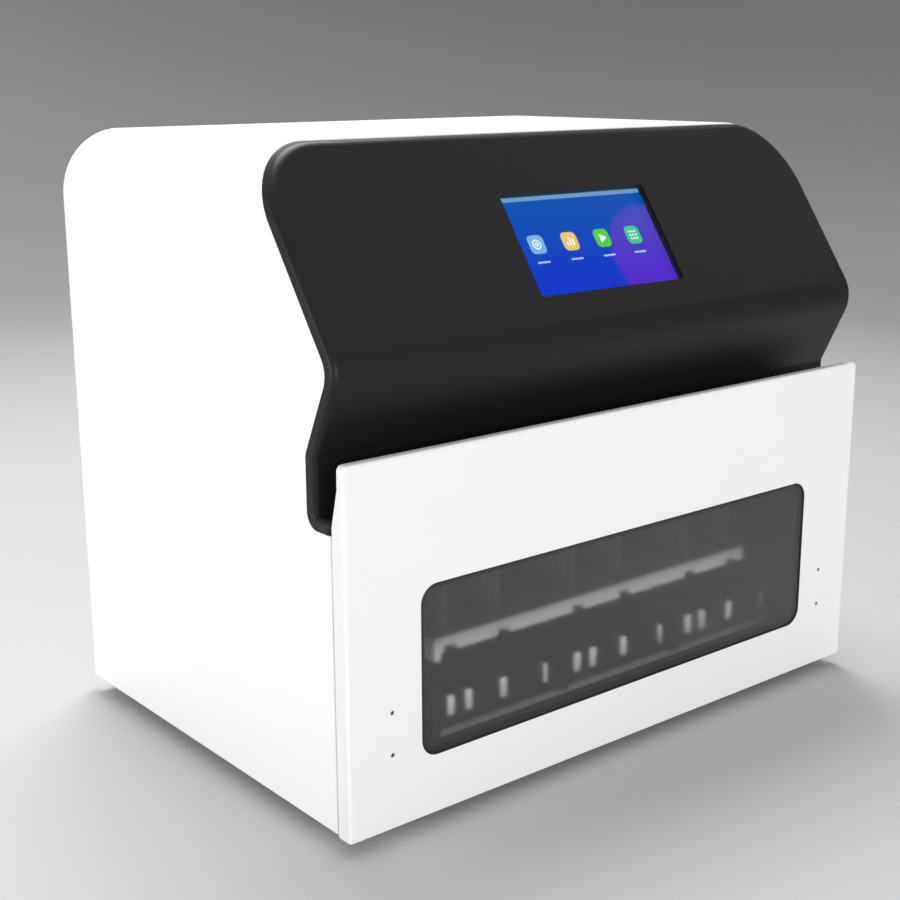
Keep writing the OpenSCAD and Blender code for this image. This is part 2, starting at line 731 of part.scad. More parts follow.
module heater_blocks() color("silver") stand() for (bay = [0:2]) {
  box(bay_x(bay) - 60, bay_x(bay) + 60, fin_y, fin_y + fin_len, heater_z, deck_z);
  for (i = [0:3]) box(
    fin_x(bay, i) - fin_width(i) / 2, fin_x(bay, i) + fin_width(i) / 2,
    fin_y, fin_y + fin_len, heater_z, fin_top
  );
}

module deck_plate() color("dimgray") stand() difference() {
  box(deck_x - deck_half, deck_x + deck_half, fin_y - 3, fin_y + fin_len + 9, deck_z, deck_top);
  for (bay = [0:2], i = [0:3]) box(
    fin_x(bay, i) - fin_width(i) / 2 - fit, fin_x(bay, i) + fin_width(i) / 2 + fit,
    fin_y - fit, fin_y + fin_len + fit, deck_z - past, deck_top + past
  );
}

// ---- Lift drive ----

lift_rail_z0 = carrier_z - 5;
lift_rail_z1 = tower_top_z - 12;
module lift_rails() color("silver") stand() sides_at(lift_rail_x) difference() {
  translate([0, tower_y, lift_rail_z0]) upright(lift_rail_z1 - lift_rail_z0) rail_profile();
  for (z = [lift_rail_z0 + 20:50:lift_rail_z1 - 10])
    bar_y(0, z, tower_y - rail_h - past, tower_y + past, 3.6);
}
// Two copies at equal distances from the middle of the mechanism
module sides_at(x) for (side = [-1, 1]) translate([mech_x + side * x, 0, 0]) children();
// Profile drawn from its foot outwards, extruded upwards
module upright(h) linear_extrude(h) mirror([0, 1, 0]) children();

block_z = carrier_top + 18;
module lift_blocks() color("dimgray") stand() sides_at(lift_rail_x) for (i = [0, 1])
  translate([0, tower_y, block_z + i * lift_block_pitch]) upright(block_len) block_profile();

lift_screw_z0 = 54;
module lift_screw() color("silver") stand() {
  post(mech_x, lift_screw_y, lift_screw_z0, coupling_z + 8, screw_d);
  post(mech_x, lift_screw_y, coupling_z + 12, tower_top_z + bracket_plate_t + 5, 5);
}

module lift_coupling() color("lightgray") stand() difference() {
  post(mech_x, lift_screw_y, coupling_z, coupling_z + coupling_len, 16);
  post(mech_x, lift_screw_y, coupling_z - past, coupling_z + 8, screw_d);
  post(mech_x, lift_screw_y, coupling_z + 8, coupling_z + coupling_len + past, 5);
}

module lift_bearing() color("dimgray") stand() difference() {
  box(mech_x - 16, mech_x + 16, tower_y - 18, tower_y, lift_screw_z0 - 4, lift_screw_z0 + 8);
  post(mech_x, lift_screw_y, lift_screw_z0, lift_screw_z0 + 9, screw_d + 2 * bore_play);
}

bracket_plate_t = 4;
pilot_d = 22;
module motor_bracket() color("darkgray") stand() difference() {
  translate([0, 0, tower_top_z]) box(
    mech_x - motor_w / 2 - 9, mech_x + motor_w / 2 + 9,
    lift_screw_y - motor_w / 2, tower_back + tower_t, 0, bracket_plate_t
  );
  post(mech_x, lift_screw_y, tower_top_z - past, tower_top_z + bracket_plate_t + past, pilot_d);
}

module motor_body(bore) difference() {
  linear_extrude(motor_h) rounded_rect(motor_w, motor_w, 4);
  translate([0, 0, -past]) cylinder(d = bore, h = 8);
}

module lift_motor() color("black") stand() translate([mech_x, lift_screw_y, tower_top_z + bracket_plate_t])
  motor_body(5 + 2 * bore_play);

module lift_nut() color("gold") stand() difference() {
  box(mech_x - 15, mech_x + 15, block_front_y, tower_y - 3, block_z + 50, block_z + 70);
  post(mech_x, lift_screw_y, block_z + 49, block_z + 71, screw_d + 2 * bore_play);
}

// ---- Head ----

carrier_front_y = fin_y;
carrier_back_y = plate_mid_y + 42;
stop_lug_w = 6;
module comb_carrier() color("gainsboro") stand() difference() {
  union() {
    translate([mech_x, 0, 0]) {
      box(-carrier_w / 2, carrier_w / 2, carrier_front_y, carrier_back_y, carrier_z, carrier_top);
      box(-bracket_half - 6, bracket_half + 6, carrier_back_y - 2, block_front_y, carrier_z, carrier_top);
      box(
        -carrier_w / 2, stop_lug_w - carrier_w / 2,
        carrier_front_y, carrier_front_y + 2 * stop_lug_w, carrier_z - stop_lug_w, carrier_top
      );
    }
  }
  for (bay = [0:2], side = [0:1]) {
    box(
      comb_x(bay, side) - slot_w / 2, comb_x(bay, side) + slot_w / 2,
      carrier_front_y - past, carrier_back_y - 4, carrier_z - past, carrier_z + slot_h
    );
    for (row = [0:7])
      post(comb_x(bay, side), rod_front_y + row * well_pitch, carrier_z, carrier_top + past, rod_hole_d);
  }
}

rib_t = 4;
rib_depth = 18;
rib_h = 50;
// Openings in the bracket on both sides of the lift nut
light_hole_w = 40;
light_hole_h = 90;
module head_bracket() color("dimgray") stand() difference() {
  union() {
    box(mech_x - bracket_half, mech_x + bracket_half, bracket_y, block_front_y, carrier_top, shelf_z);
    box(
      mech_x - guide_x - shaft_d - rib_t, mech_x + guide_x + shaft_d + rib_t,
      shaft_y - shaft_d / 2 - 7, block_front_y, shelf_z, shelf_z + shelf_t
    );
    for (x = [mech_x - bracket_half, mech_x + bracket_half - rib_t]) along_x(x, x + rib_t)
      polygon([
        [bracket_y, carrier_top], [bracket_y - rib_depth, carrier_top], [bracket_y, carrier_top + rib_h]
      ]);
  }
  post(mech_x, shaft_y, shelf_z - past, shelf_z + shelf_t + past, screw_d + 2);
  sides_at(75) along_y(bracket_y - past, block_front_y + past)
    translate([0, carrier_top + bracket_h / 2 + 5]) rounded_rect(light_hole_w, light_hole_h, screw_d);
}

module guide_shafts() color("silver") stand() sides_at(guide_x)
  post(0, shaft_y, carrier_top, shelf_z, shaft_d);

module rod_motor() color("black") stand() translate([mech_x, shaft_y - 1, shelf_z + shelf_t])
  difference() {
    linear_extrude(motor_h) rounded_rect(motor_w - 1, motor_w - 1, 4);
    translate([0, 1, -past]) cylinder(d = 5 + 2 * bore_play, h = 8);
  }

module rod_screw() color("silver") stand() {
  post(mech_x, shaft_y, carrier_top + fit, shelf_z + 2, screw_d);
  post(mech_x, shaft_y, shelf_z + 2, shelf_z + shelf_t + 5, 5);
}

bushing_d = shaft_d + 9;
nut_d = screw_d + 8;
collar_t = 3;
collar_w = 4;
collar_top_z = rod_plate_z + rod_plate_t + collar_t;
ear_half = 16;
rod_plate_half = carrier_w / 2 - 8;
rod_back_y = rod_front_y + 7 * well_pitch;
module rod_plate() color("lightgray") stand() difference() {
  union() {
    box(
      mech_x - rod_plate_half, mech_x + rod_plate_half,
      rod_front_y - rod_d - 1, rod_back_y + rod_d, rod_plate_z, rod_plate_z + rod_plate_t
    );
    for (x = [mech_x - guide_x, mech_x, mech_x + guide_x])
      box(x - ear_half, x + ear_half, rod_back_y, bracket_y - 1, rod_plate_z, rod_plate_z + rod_plate_t);
  }
  sides_at(guide_x) post(0, shaft_y, rod_plate_z - past, rod_plate_z + rod_plate_t + past, bushing_d);
  post(mech_x, shaft_y, rod_plate_z - past, rod_plate_z + rod_plate_t + past, nut_d);
}

module rod_bushings() color("gold") stand() sides_at(guide_x) difference() {
  union() {
    post(0, shaft_y, rod_plate_z - bushing_reach, rod_plate_z + rod_plate_t + bushing_reach, bushing_d);
    post(0, shaft_y, rod_plate_z + rod_plate_t, collar_top_z, bushing_d + 2 * collar_w);
  }
  post(0, shaft_y, carrier_top, shelf_z, shaft_d + 2 * bore_play);
}

module rod_nut() color("gold") stand() difference() {
  union() {
    post(mech_x, shaft_y, rod_plate_z - nut_d / 2, rod_plate_z + rod_plate_t, nut_d);
    post(mech_x, shaft_y, rod_plate_z + rod_plate_t, collar_top_z, nut_d + 2 * collar_w);
  }
  post(
    mech_x, shaft_y, rod_plate_z - nut_d / 2 - past, collar_top_z + past, screw_d + 2 * bore_play
  );
}

rod_tip_z = carrier_z + slot_h + 1;
module magnet_rods() color("silver") stand() for (bay = [0:2], side = [0:1], row = [0:7])
  post(comb_x(bay, side), rod_front_y + row * well_pitch, rod_tip_z, rod_plate_z, rod_d);

// ---- Germicidal lamp ----

holder_reach = 12;
holder_w = 20;
lamp_y = front_y + front_t + tube_d / 2 + 5;
lamp_z = liner_top - liner_t - tube_d / 2 - 3;
module uv_tube() color("lightblue") stand() bar_x(lamp_y, lamp_z, -tube_len / 2, tube_len / 2, tube_d);

module lamp_holders() color("white") stand() sides() difference() {
  box(
    tube_len / 2 - 8, tube_len / 2 + holder_reach,
    lamp_y - holder_w / 2, lamp_y + holder_w / 2, lamp_z - holder_w / 2, liner_top - liner_t
  );
  bar_x(lamp_y, lamp_z, 0, tube_len / 2, tube_d);
}

// ---- Rear compartment ----

fan_z = housing_h - fan_drop;
board_x0 = -110;
board_y0 = tower_back + 30;
board_t = 1.6;
board_top = base_top + spacer_h + board_t;
sink_side = 30;
chip_side = 50;
plug_w = 11;
plug_pitch = 15;

module power_supply() color("silver") stand() difference() {
  box(supply_x0, supply_x1, supply_y0, supply_y0 + supply_len, base_top, base_top + supply_h);
  for (y = [16:13:supply_len - 20]) box(
    supply_x0 + 15, supply_x1 - 15, supply_y0 + y, supply_y0 + y + 6,
    base_top + supply_h - 4, base_top + supply_h + past
  );
}

module control_board() color("green") stand() {
  translate([board_x0, board_y0, 0]) {
    box(0, board_w, 0, board_len, board_top - board_t, board_top);
    for (x = [8, board_w - 8], y = [8, board_len - 8]) post(x, y, base_top, base_top + spacer_h, 6);
    for (x = [30, 80, 130]) box(x, x + sink_side, 20, 20 + sink_side, board_top, board_top + 12.4);
    box(50, 50 + chip_side, 70, 70 + chip_side, board_top, board_top + 6.4);
    for (i = [0:3]) translate([board_w - 65 + plug_pitch * i, board_len - 14, 0])
      box(0, plug_w, 0, plug_w + 1, board_top, board_top + 10.4);
  }
}

module mains_inlet() color("black") stand() difference() {
  union() {
    box(inlet_x - 13.7, inlet_x + 13.7, panel_y - 22, rear_y, inlet_z - 9.7, inlet_z + 9.7);
    along_y(rear_y, rear_y + 3) translate([inlet_x, inlet_z]) rounded_rect(50, 27, 4);
  }
  box(inlet_x - 12, inlet_x + 12, rear_y - 14, rear_y + 4, inlet_z - 8, inlet_z + 8);
  for (x = [-20, 20]) bar_y(inlet_x + x, inlet_z, rear_y - past, rear_y + 4, 3.4);
}

module switch_frame() color("black") stand() difference() {
  union() {
    box(inlet_x - 10.7, inlet_x + 10.7, panel_y - 18, rear_y, switch_z - 13.7, switch_z + 13.7);
    along_y(rear_y, rear_y + 2) translate([inlet_x, switch_z]) rounded_rect(26, 34, 2);
  }
  box(inlet_x - 8, inlet_x + 8, rear_y - 10, rear_y + 3, switch_z - 11, switch_z + 11);
  bar_x(rear_y - 3, switch_z, inlet_x - 10, inlet_x + 10, 2 + 2 * bore_play);
}

module power_rocker() color("red") stand() {
  along_x(inlet_x - 7.5, inlet_x + 7.5) polygon([
    [rear_y - 3.5, switch_z - 9.5], [rear_y - 3.5, switch_z + 9.5], [rear_y + 2.8, switch_z + 9.5],
    [rear_y - 0.2, switch_z], [rear_y + 0.8, switch_z - 9.5]
  ]);
  bar_x(rear_y - 3, switch_z, inlet_x - 9.5, inlet_x + 9.5, 2);
}

fan_y0 = panel_y - fan_t;
rotor_d = fan_side - 8;
module fan_frame() color("black") stand() difference() {
  union() {
    along_y(fan_y0, panel_y) translate([fan_x, fan_z]) difference() {
      rounded_rect(fan_side, fan_side, 5);
      circle(d = fan_side - 4);
    }
    for (a = [45, 135]) translate([fan_x, fan_y0, fan_z]) rotate([0, a, 0])
      box(1 - fan_side / 2, fan_side / 2 - 1, 0, 3, -2.5, 2.5);
    bar_y(fan_x, fan_z, fan_y0, fan_y0 + 3, 30);
  }
  bar_y(fan_x, fan_z, fan_y0 - past, fan_y0 + 4, 4 + 2 * bore_play);
}

module fan_rotor() color("dimgray") stand() translate([fan_x, 0, fan_z]) {
  bar_y(0, 0, fan_y0 + 3 + side_play, panel_y - 3, 30);
  bar_y(0, 0, fan_y0 + 0.5, fan_y0 + 4, 4);
  intersection() {
    for (i = [0:blades - 1]) rotate([0, i * 360 / blades, 0]) translate([14, (fan_y0 + panel_y) / 2 + 1, 0])
      rotate([35, 0, 0]) translate([0, -0.8, -12]) cube([rotor_d / 2 - 14, 1.6, 24]);
    bar_y(0, 0, fan_y0 + 4, panel_y - 2, rotor_d);
  }
}

module ring(d, w) difference() {
  circle(d = d);
  circle(d = d - 2 * w);
}

module fan_guard() color("silver") stand() {
  along_y(rear_y, rear_y + 2) translate([fan_x, fan_z]) {
    for (d = [fan_side - 4, fan_side - 22, fan_side - 40, fan_side - 58]) ring(d, 1.6);
    for (a = [45, 135]) rotate(a) square([fan_side + 16, 2], center = true);
    for (x = [-1, 1], y = [-1, 1]) translate([x * (fan_side / 2 - 4), y * (fan_side / 2 - 4)]) ring(9, 2.6);
  }
}

module data_sockets() color("silver") stand() {
  difference() {
    box(socket_x - 7.2, socket_x + 7.2, panel_y - 16, rear_y + 1, inlet_z - 7.7, inlet_z + 7.7);
    for (z = [inlet_z - 4, inlet_z + 4])
      box(socket_x - 6, socket_x + 6, rear_y - 8, rear_y + 2, z - 2.4, z + 2.4);
  }
  difference() {
    box(socket_x + 18.8, socket_x + 34.2, panel_y - 16, rear_y + 1, inlet_z - 6.7, inlet_z + 6.7);
    box(socket_x + 20.5, socket_x + 32.5, rear_y - 11, rear_y + 2, inlet_z - 4.5, inlet_z + 4.5);
  }
}

outer_cover();
base_plate();
rear_panel();
front_frame();
front_fascia();
chamber_liner();
tower_plate();
rubber_feet();
display_bezel();
touch_glass();
display_module();
door_seal();
latch_magnets();
hinge_brackets();
hinge_pins();
door_panel();
window_pane();
window_gasket();
door_screws();
hinge_leaves();
strike_plates();
deck_base();
deck_rails();
deck_screw();
deck_bearing();
deck_motor();
deck_carriage();
deck_blocks();
deck_nut();
heater_blocks();
deck_plate();
lift_rails();
lift_screw();
lift_coupling();
lift_bearing();
lift_motor();
motor_bracket();
comb_carrier();
head_bracket();
lift_blocks();
lift_nut();
guide_shafts();
rod_motor();
rod_screw();
rod_plate();
magnet_rods();
rod_bushings();
rod_nut();
uv_tube();
lamp_holders();
power_supply();
control_board();
mains_inlet();
switch_frame();
power_rocker();
fan_frame();
fan_rotor();
fan_guard();
data_sockets();
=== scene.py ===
"""Looks of a bench instrument that extracts nucleic acids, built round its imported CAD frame.

The frame holds every size and place. This script breaks the edges of the CAD pieces, adds what the
frame leaves out, such as threads, small screws and the picture on the display, and gives each
surface the finish of the real one.
"""

from __future__ import annotations

import json
import logging
import math
from collections.abc import Iterable, Mapping, Sequence
from dataclasses import dataclass
from enum import Enum

import bmesh
import bpy
from mathutils import Matrix, Vector


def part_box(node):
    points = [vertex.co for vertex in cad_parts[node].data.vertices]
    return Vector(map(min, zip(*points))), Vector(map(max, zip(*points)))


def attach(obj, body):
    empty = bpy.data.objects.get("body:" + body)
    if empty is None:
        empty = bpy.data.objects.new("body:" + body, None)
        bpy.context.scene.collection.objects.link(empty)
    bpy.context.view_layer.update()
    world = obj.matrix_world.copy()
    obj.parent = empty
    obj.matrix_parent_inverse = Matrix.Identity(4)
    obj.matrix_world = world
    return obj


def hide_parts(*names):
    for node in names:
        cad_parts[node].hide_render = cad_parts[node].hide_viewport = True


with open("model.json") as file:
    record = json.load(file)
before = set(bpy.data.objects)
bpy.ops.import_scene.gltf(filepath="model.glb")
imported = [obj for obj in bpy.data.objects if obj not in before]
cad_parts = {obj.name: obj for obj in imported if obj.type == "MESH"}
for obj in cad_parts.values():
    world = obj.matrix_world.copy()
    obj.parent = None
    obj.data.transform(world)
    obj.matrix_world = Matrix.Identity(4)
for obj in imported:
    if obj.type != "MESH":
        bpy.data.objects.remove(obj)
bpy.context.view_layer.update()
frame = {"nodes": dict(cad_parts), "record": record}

MM = 0.001
WELD = 0.002 * MM
SMOOTH_ANGLE = math.radians(32)
FLAT_ANGLE = math.radians(0.5)
log = logging.getLogger("extractor")

BODY_OF = {node: body for body, nodes in frame["record"]["behaviour"]["bodies"].items() for node in nodes}


# ---- Colour and nodes ----


def linear(hex_colour: str) -> tuple[float, float, float, float]:
    """Turns an sRGB colour into the linear one that shaders work in.

    Args:
        hex_colour: Six hexadecimal digits, such as "ededeb".

    Returns:
        Linear red, green and blue, with an alpha of one.
    """
    channels = [int(hex_colour[i:i + 2], 16) / 255 for i in (0, 2, 4)]
    turned = [c / 12.92 if c <= 0.04045 else ((c + 0.055) / 1.055) ** 2.4 for c in channels]
    return (turned[0], turned[1], turned[2], 1.0)


def add_node(
    tree: bpy.types.NodeTree,
    kind: str,
    inputs: Mapping[str | int, object] | None = None,
    **settings: object,
) -> bpy.types.Node:
    """Adds one node with its settings, and sets or links its inputs.

    Args:
        tree: The tree that the node joins.
        kind: The node's type name.
        inputs: Values, or output sockets to link from, by the input's name or number.
        **settings: Properties of the node itself.

    Returns:
        The new node.
    """
    node = tree.nodes.new(kind)
    for name, value in settings.items():
        setattr(node, name, value)
    for key, value in (inputs or {}).items():
        socket = node.inputs[key]
        if isinstance(value, bpy.types.NodeSocket):
            tree.links.new(value, socket)
        else:
            socket.default_value = value
    return node


def empty_material(name: str) -> tuple[bpy.types.Material, bpy.types.NodeTree]:
    """Starts a material whose node tree is empty.

    Args:
        name: The material's name.

    Returns:
        The material and its tree.
    """
    made = bpy.data.materials.new(name)
    made.use_nodes = True
    made.node_tree.nodes.clear()
    return made, made.node_tree


# ---- Finishes ----


class Relief(Enum):
    """The way in which a surface's fine relief runs."""

    EVEN = (1.0, 1.0, 1.0)
    ALONG_X = (0.03, 1.0, 1.0)


@dataclass(frozen=True)
class Finish:
    """A surface as its maker would order it.

    Attributes:
        name: The real material and how its surface was made.
        colour: The body colour, in sRGB.
        shade: The slightly different tone that cloudy patches drift towards, in sRGB.
        roughness: Middle roughness of the surface.
        drift: How far the roughness wanders between patches.
        drift_mm: Size of those patches.
        grain_mm: Width of one bump of the fine relief. Real grain is a few tenths of a millimetre, too
            fine to show, so it is drawn several times as coarse.
        grain_depth_mm: Height of the fine relief.
        relief: The way in which the fine relief runs.
        metallic: One for bare metal.
        ior: Index of refraction, for what isn't metal.
        coat: Weight of a clear coat.
        transmission: How much light passes through.
    """

    name: str
    colour: str
    shade: str
    roughness: float
    drift: float = 0.04
    drift_mm: float = 70.0
    grain_mm: float = 1.2
    grain_depth_mm: float = 0.01
    relief: Relief = Relief.EVEN
    metallic: float = 0.0
    ior: float = 1.5
    coat: float = 0.0
    transmission: float = 0.0

    def material(self) -> bpy.types.Material:
        """Returns the finish as a Blender material, made once."""
        return bpy.data.materials.get(self.name) or self.build()

    def build(self) -> bpy.types.Material:
        """Makes the node tree of the finish.

        Returns:
            The new material.
        """
        made, tree = empty_material(self.name)
        place = add_node(tree, "ShaderNodeTexCoord").outputs["Object"]
        cloud = add_node(tree, "ShaderNodeTexNoise", {
            "Vector": place, "Scale": 1 / (self.drift_mm * MM), "Detail": 3.0,
        })
        tone = add_node(tree, "ShaderNodeMix", {
            "Factor": cloud.outputs["Fac"], 6: linear(self.colour), 7: linear(self.shade),
        }, data_type="RGBA")
        gloss = add_node(tree, "ShaderNodeMapRange", {
            "Value": cloud.outputs["Fac"], "From Min": 0.3, "From Max": 0.7,
            "To Min": self.roughness - self.drift, "To Max": self.roughness + self.drift,
        })
        stretched = add_node(tree, "ShaderNodeMapping", {"Vector": place, "Scale": self.relief.value})
        grain = add_node(tree, "ShaderNodeTexNoise", {
            "Vector": stretched.outputs["Vector"], "Scale": 1 / (self.grain_mm * MM), "Detail": 2.0,
        })
        bump = add_node(tree, "ShaderNodeBump", {
            "Height": grain.outputs["Fac"], "Strength": 1.0, "Distance": self.grain_depth_mm * MM,
        })
        inputs: dict[str | int, object] = {
            "Base Color": tone.outputs[2], "Roughness": gloss.outputs["Result"], "Metallic": self.metallic,
            "Coat Weight": self.coat, "Transmission Weight": self.transmission,
            "Normal": bump.outputs["Normal"],
        }
        if not self.metallic:
            inputs["IOR"] = self.ior
        surface = add_node(tree, "ShaderNodeBsdfPrincipled", inputs)
        add_node(tree, "ShaderNodeOutputMaterial", {"Surface": surface.outputs["BSDF"]})
        return made


# Sheet steel with a white powder coat: the melted powder leaves a faint orange peel under a soft gloss.
POWDER_COAT = Finish("sheet_steel_powder_coated_white", "fafafa", "f6f6f6", 0.38, 0.04, 120, 2.2, 0.012)
# Moulded ABS, painted satin white: cleaner and smoother than the powder coat, with crisp light edges.
PAINTED_ABS = Finish("abs_moulded_painted_white", "f2f2f1", "eeeeed", 0.34, 0.03, 90, 1.6, 0.005)
# Moulded ABS in black with a fine spark-eroded grain: a dry surface with a low, broad satin sheen.
GRAINED_ABS = Finish("abs_moulded_black_fine_grain", "1a1a1a", "171717", 0.4, 0.03, 110, 0.9, 0.012, ior=1.3)
# Cast acrylic, smoked: it dims and softens what lies behind it and mirrors the room faintly.
SMOKED_ACRYLIC = Finish(
    "acrylic_cast_smoked", "9c9c9c", "989898", 0.13, 0.01, 200, 8.0, 0.0, ior=1.49, transmission=0.93,
)
# Cover glass of the touch panel, etched against glare: its faint gloss leaves the colours deep.
COATED_GLASS = Finish(
    "glass_float_coated", "fbfdfc", "fbfdfc", 0.05, 0.0, 90, 9.0, 0.0, ior=1.12, transmission=1.0,
)
# Black mask painted round the window's inner edge, flat enough to vanish behind the smoked pane.
MASK_PAINT = Finish("paint_sprayed_black_matt", "101010", "0d0d0d", 0.6, 0.04, 30, 0.8, 0.006)
# Moulded nitrile rubber: dull, nearly black, faintly dusty.
RUBBER = Finish("rubber_moulded_black", "131313", "1b1b1b", 0.72, 0.06, 12, 0.8, 0.02)
# Glass-filled nylon, moulded black: a little lighter and glossier than rubber.
NYLON_BLACK = Finish("nylon_moulded_black", "1a1a1b", "202021", 0.5, 0.05, 20, 0.8, 0.012)
# Moulded grey polycarbonate: a plain even grey with little gloss.
GREY_PLASTIC = Finish("polycarbonate_moulded_grey", "6f7173", "676a6c", 0.48, 0.05, 40, 1.0, 0.01)
# Moulded white PBT, as on lamp holders: a warm, slightly dull white.
WHITE_PLASTIC = Finish("pbt_moulded_white", "e6e6e2", "dededa", 0.42, 0.04, 30, 1.0, 0.01)
# Zinc-plated steel sheet: cool grey with cloudy patches from the bath.
ZINC_SHEET = Finish("steel_sheet_zinc_plated", "b9bcbf", "9ea2a6", 0.36, 0.1, 18, 1.4, 0.006, metallic=1.0)
# Cold-drawn steel: bright, with fine lines along X that stretch its highlights.
DRAWN_STEEL = Finish("steel_drawn_bright", "a9abad", "97999b", 0.3, 0.08, 25, 0.8, 0.01, Relief.ALONG_X, 1.0)
# Ground and chromed shafts: bright, with grinding marks too fine to see singly.
CHROMED_STEEL = Finish("steel_ground_chromed", "cfd1d3", "c4c6c8", 0.14, 0.03, 30, 0.6, 0.002, metallic=1.0)
# Milled and glass-blasted aluminium, clear anodised: pale, matt, even.
BLASTED_ALUMINIUM = Finish(
    "aluminium_blasted_anodised", "d3d5d7", "c9cbcd", 0.5, 0.05, 35, 0.8, 0.012, metallic=0.55,
)
# Pale bare aluminium, put on the heater blocks' front faces as a painted highlight for the light that falls
# on them: pale and silky.
LIT_FRONT_ALUMINIUM = Finish(
    "aluminium_pale_painted_highlight", "dcdedf", "d2d4d6", 0.45, 0.05, 25, 0.7, 0.01, Relief.ALONG_X, 0.5,
)
# Extruded aluminium plate, brushed along X and anodised grey: a dark sheen with lines along its length.
BRUSHED_ALUMINIUM = Finish(
    "aluminium_brushed_grey", "8b8e91", "7f8286", 0.42, 0.06, 45, 0.9, 0.012, Relief.ALONG_X, 0.8,
)
# Aluminium, glass-blasted and anodised black: it swallows light, with a faint silky gloss.
BLACK_ALUMINIUM = Finish(
    "aluminium_blasted_anodised_black", "2c2d2f", "252628", 0.42, 0.05, 40, 0.8, 0.01, metallic=0.3,
)
# Steel sheet with a black powder coat, on the chamber's walls: a deep, even dark with a faint orange peel.
BLACK_COAT = Finish("sheet_steel_powder_coated_black", "222324", "1d1e1f", 0.5, 0.05, 80, 2.0, 0.015)
# Leaded bronze, turned: warm brown gold with a soft shine.
BRONZE = Finish("bronze_turned", "a8803f", "946c31", 0.34, 0.06, 12, 0.6, 0.006, metallic=1.0)
# Fused quartz of the germicidal tube, milky with its electrodes' haze.
QUARTZ = Finish(
    "quartz_tube_hazy", "e4edf2", "dbe6ee", 0.12, 0.02, 20, 5.0, 0.001, ior=1.46, transmission=0.45,
)
# Printed circuit board under green solder resist: dark green under a clear gloss.
SOLDER_RESIST = Finish("epoxy_board_green_resist", "1d5a36", "174a2c", 0.32, 0.05, 14, 1.5, 0.01, coat=0.4)
# Rocker of red moulded nylon: deep red with a mild gloss.
NYLON_RED = Finish("nylon_moulded_red", "a31d1a", "951815", 0.36, 0.04, 10, 0.8, 0.008)
# Stainless screws, turned and tumbled: mid grey, with softened highlights.
SCREW_STEEL = Finish("steel_screw_tumbled", "8d8f91", "7b7d7f", 0.34, 0.06, 6, 0.5, 0.004, metallic=1.0)
# Blackened screws, oxide finish: nearly black, with a dull metal glint.
BLACK_SCREW = Finish("steel_screw_blackened", "2b2b2c", "232324", 0.42, 0.05, 6, 0.5, 0.004, metallic=0.8)
# Gold-flashed contacts: small warm glints.
GOLD_FLASH = Finish("copper_contact_gold_flash", "c9a14a", "b98f3c", 0.25, 0.04, 6, 0.5, 0.002, metallic=1.0)


@dataclass(frozen=True)
class Backdrop:
    """Seamless studio paper with painted shade: it darkens from the instrument towards the far right, the
    back and the top, in place of the lamps' fall-off.

    Attributes:
        name: The material's name.
        near: Colour under the instrument, in sRGB.
        far: Colour at the far end, in sRGB.
        near_m: Distance along the way at which the paper starts to deepen.
        far_m: Distance at which it has its far colour.
        way: The way along which it deepens.
    """

    name: str
    near: str
    far: str
    near_m: float
    far_m: float
    way: tuple[float, float, float] = (1.0, 0.5, 0.5)

    def material(self) -> bpy.types.Material:
        """Makes the paper.

        Returns:
            The new material.
        """
        made, tree = empty_material(self.name)
        place = add_node(tree, "ShaderNodeTexCoord").outputs["Object"]
        along = add_node(tree, "ShaderNodeVectorMath", {0: place, 1: self.way}, operation="DOT_PRODUCT")
        share = add_node(tree, "ShaderNodeMapRange", {
            "Value": along.outputs["Value"], "From Min": self.near_m, "From Max": self.far_m,
        })
        tone = add_node(tree, "ShaderNodeMix", {
            "Factor": share.outputs["Result"], 6: linear(self.near), 7: linear(self.far),
        }, data_type="RGBA")
        surface = add_node(tree, "ShaderNodeBsdfPrincipled", {
            "Base Color": tone.outputs[2], "Roughness": 0.9, "IOR": 1.3,
        })
        add_node(tree, "ShaderNodeOutputMaterial", {"Surface": surface.outputs["BSDF"]})
        return made


# Painted shade: the paper darkens with distance in place of the lamps' fall-off.
STUDIO_PAPER = Backdrop("paper_seamless_painted_falloff", "d4d4d4", "828282", -0.8, 4.2)


@dataclass(frozen=True)
class Glow:
    """A lit area of the display, of one colour.

    Attributes:
        name: What the lit area is.
        colour: Its colour, in sRGB.
        strength: Its brightness, where one shows the colour as it is.
    """

    name: str
    colour: str
    strength: float = 1.0

    def material(self) -> bpy.types.Material:
        """Returns the glow as a Blender material, made once."""
        return bpy.data.materials.get(self.name) or self.build()

    def build(self) -> bpy.types.Material:
        """Makes a black surface that shines in one colour.

        Returns:
            The new material.
        """
        made, tree = empty_material(self.name)
        surface = add_node(tree, "ShaderNodeBsdfPrincipled", {
            "Base Color": linear("050505"), "Roughness": 0.4, "Specular IOR Level": 0.0,
            "Emission Color": linear(self.colour), "Emission Strength": self.strength,
        })
        add_node(tree, "ShaderNodeOutputMaterial", {"Surface": surface.outputs["BSDF"]})
        return made


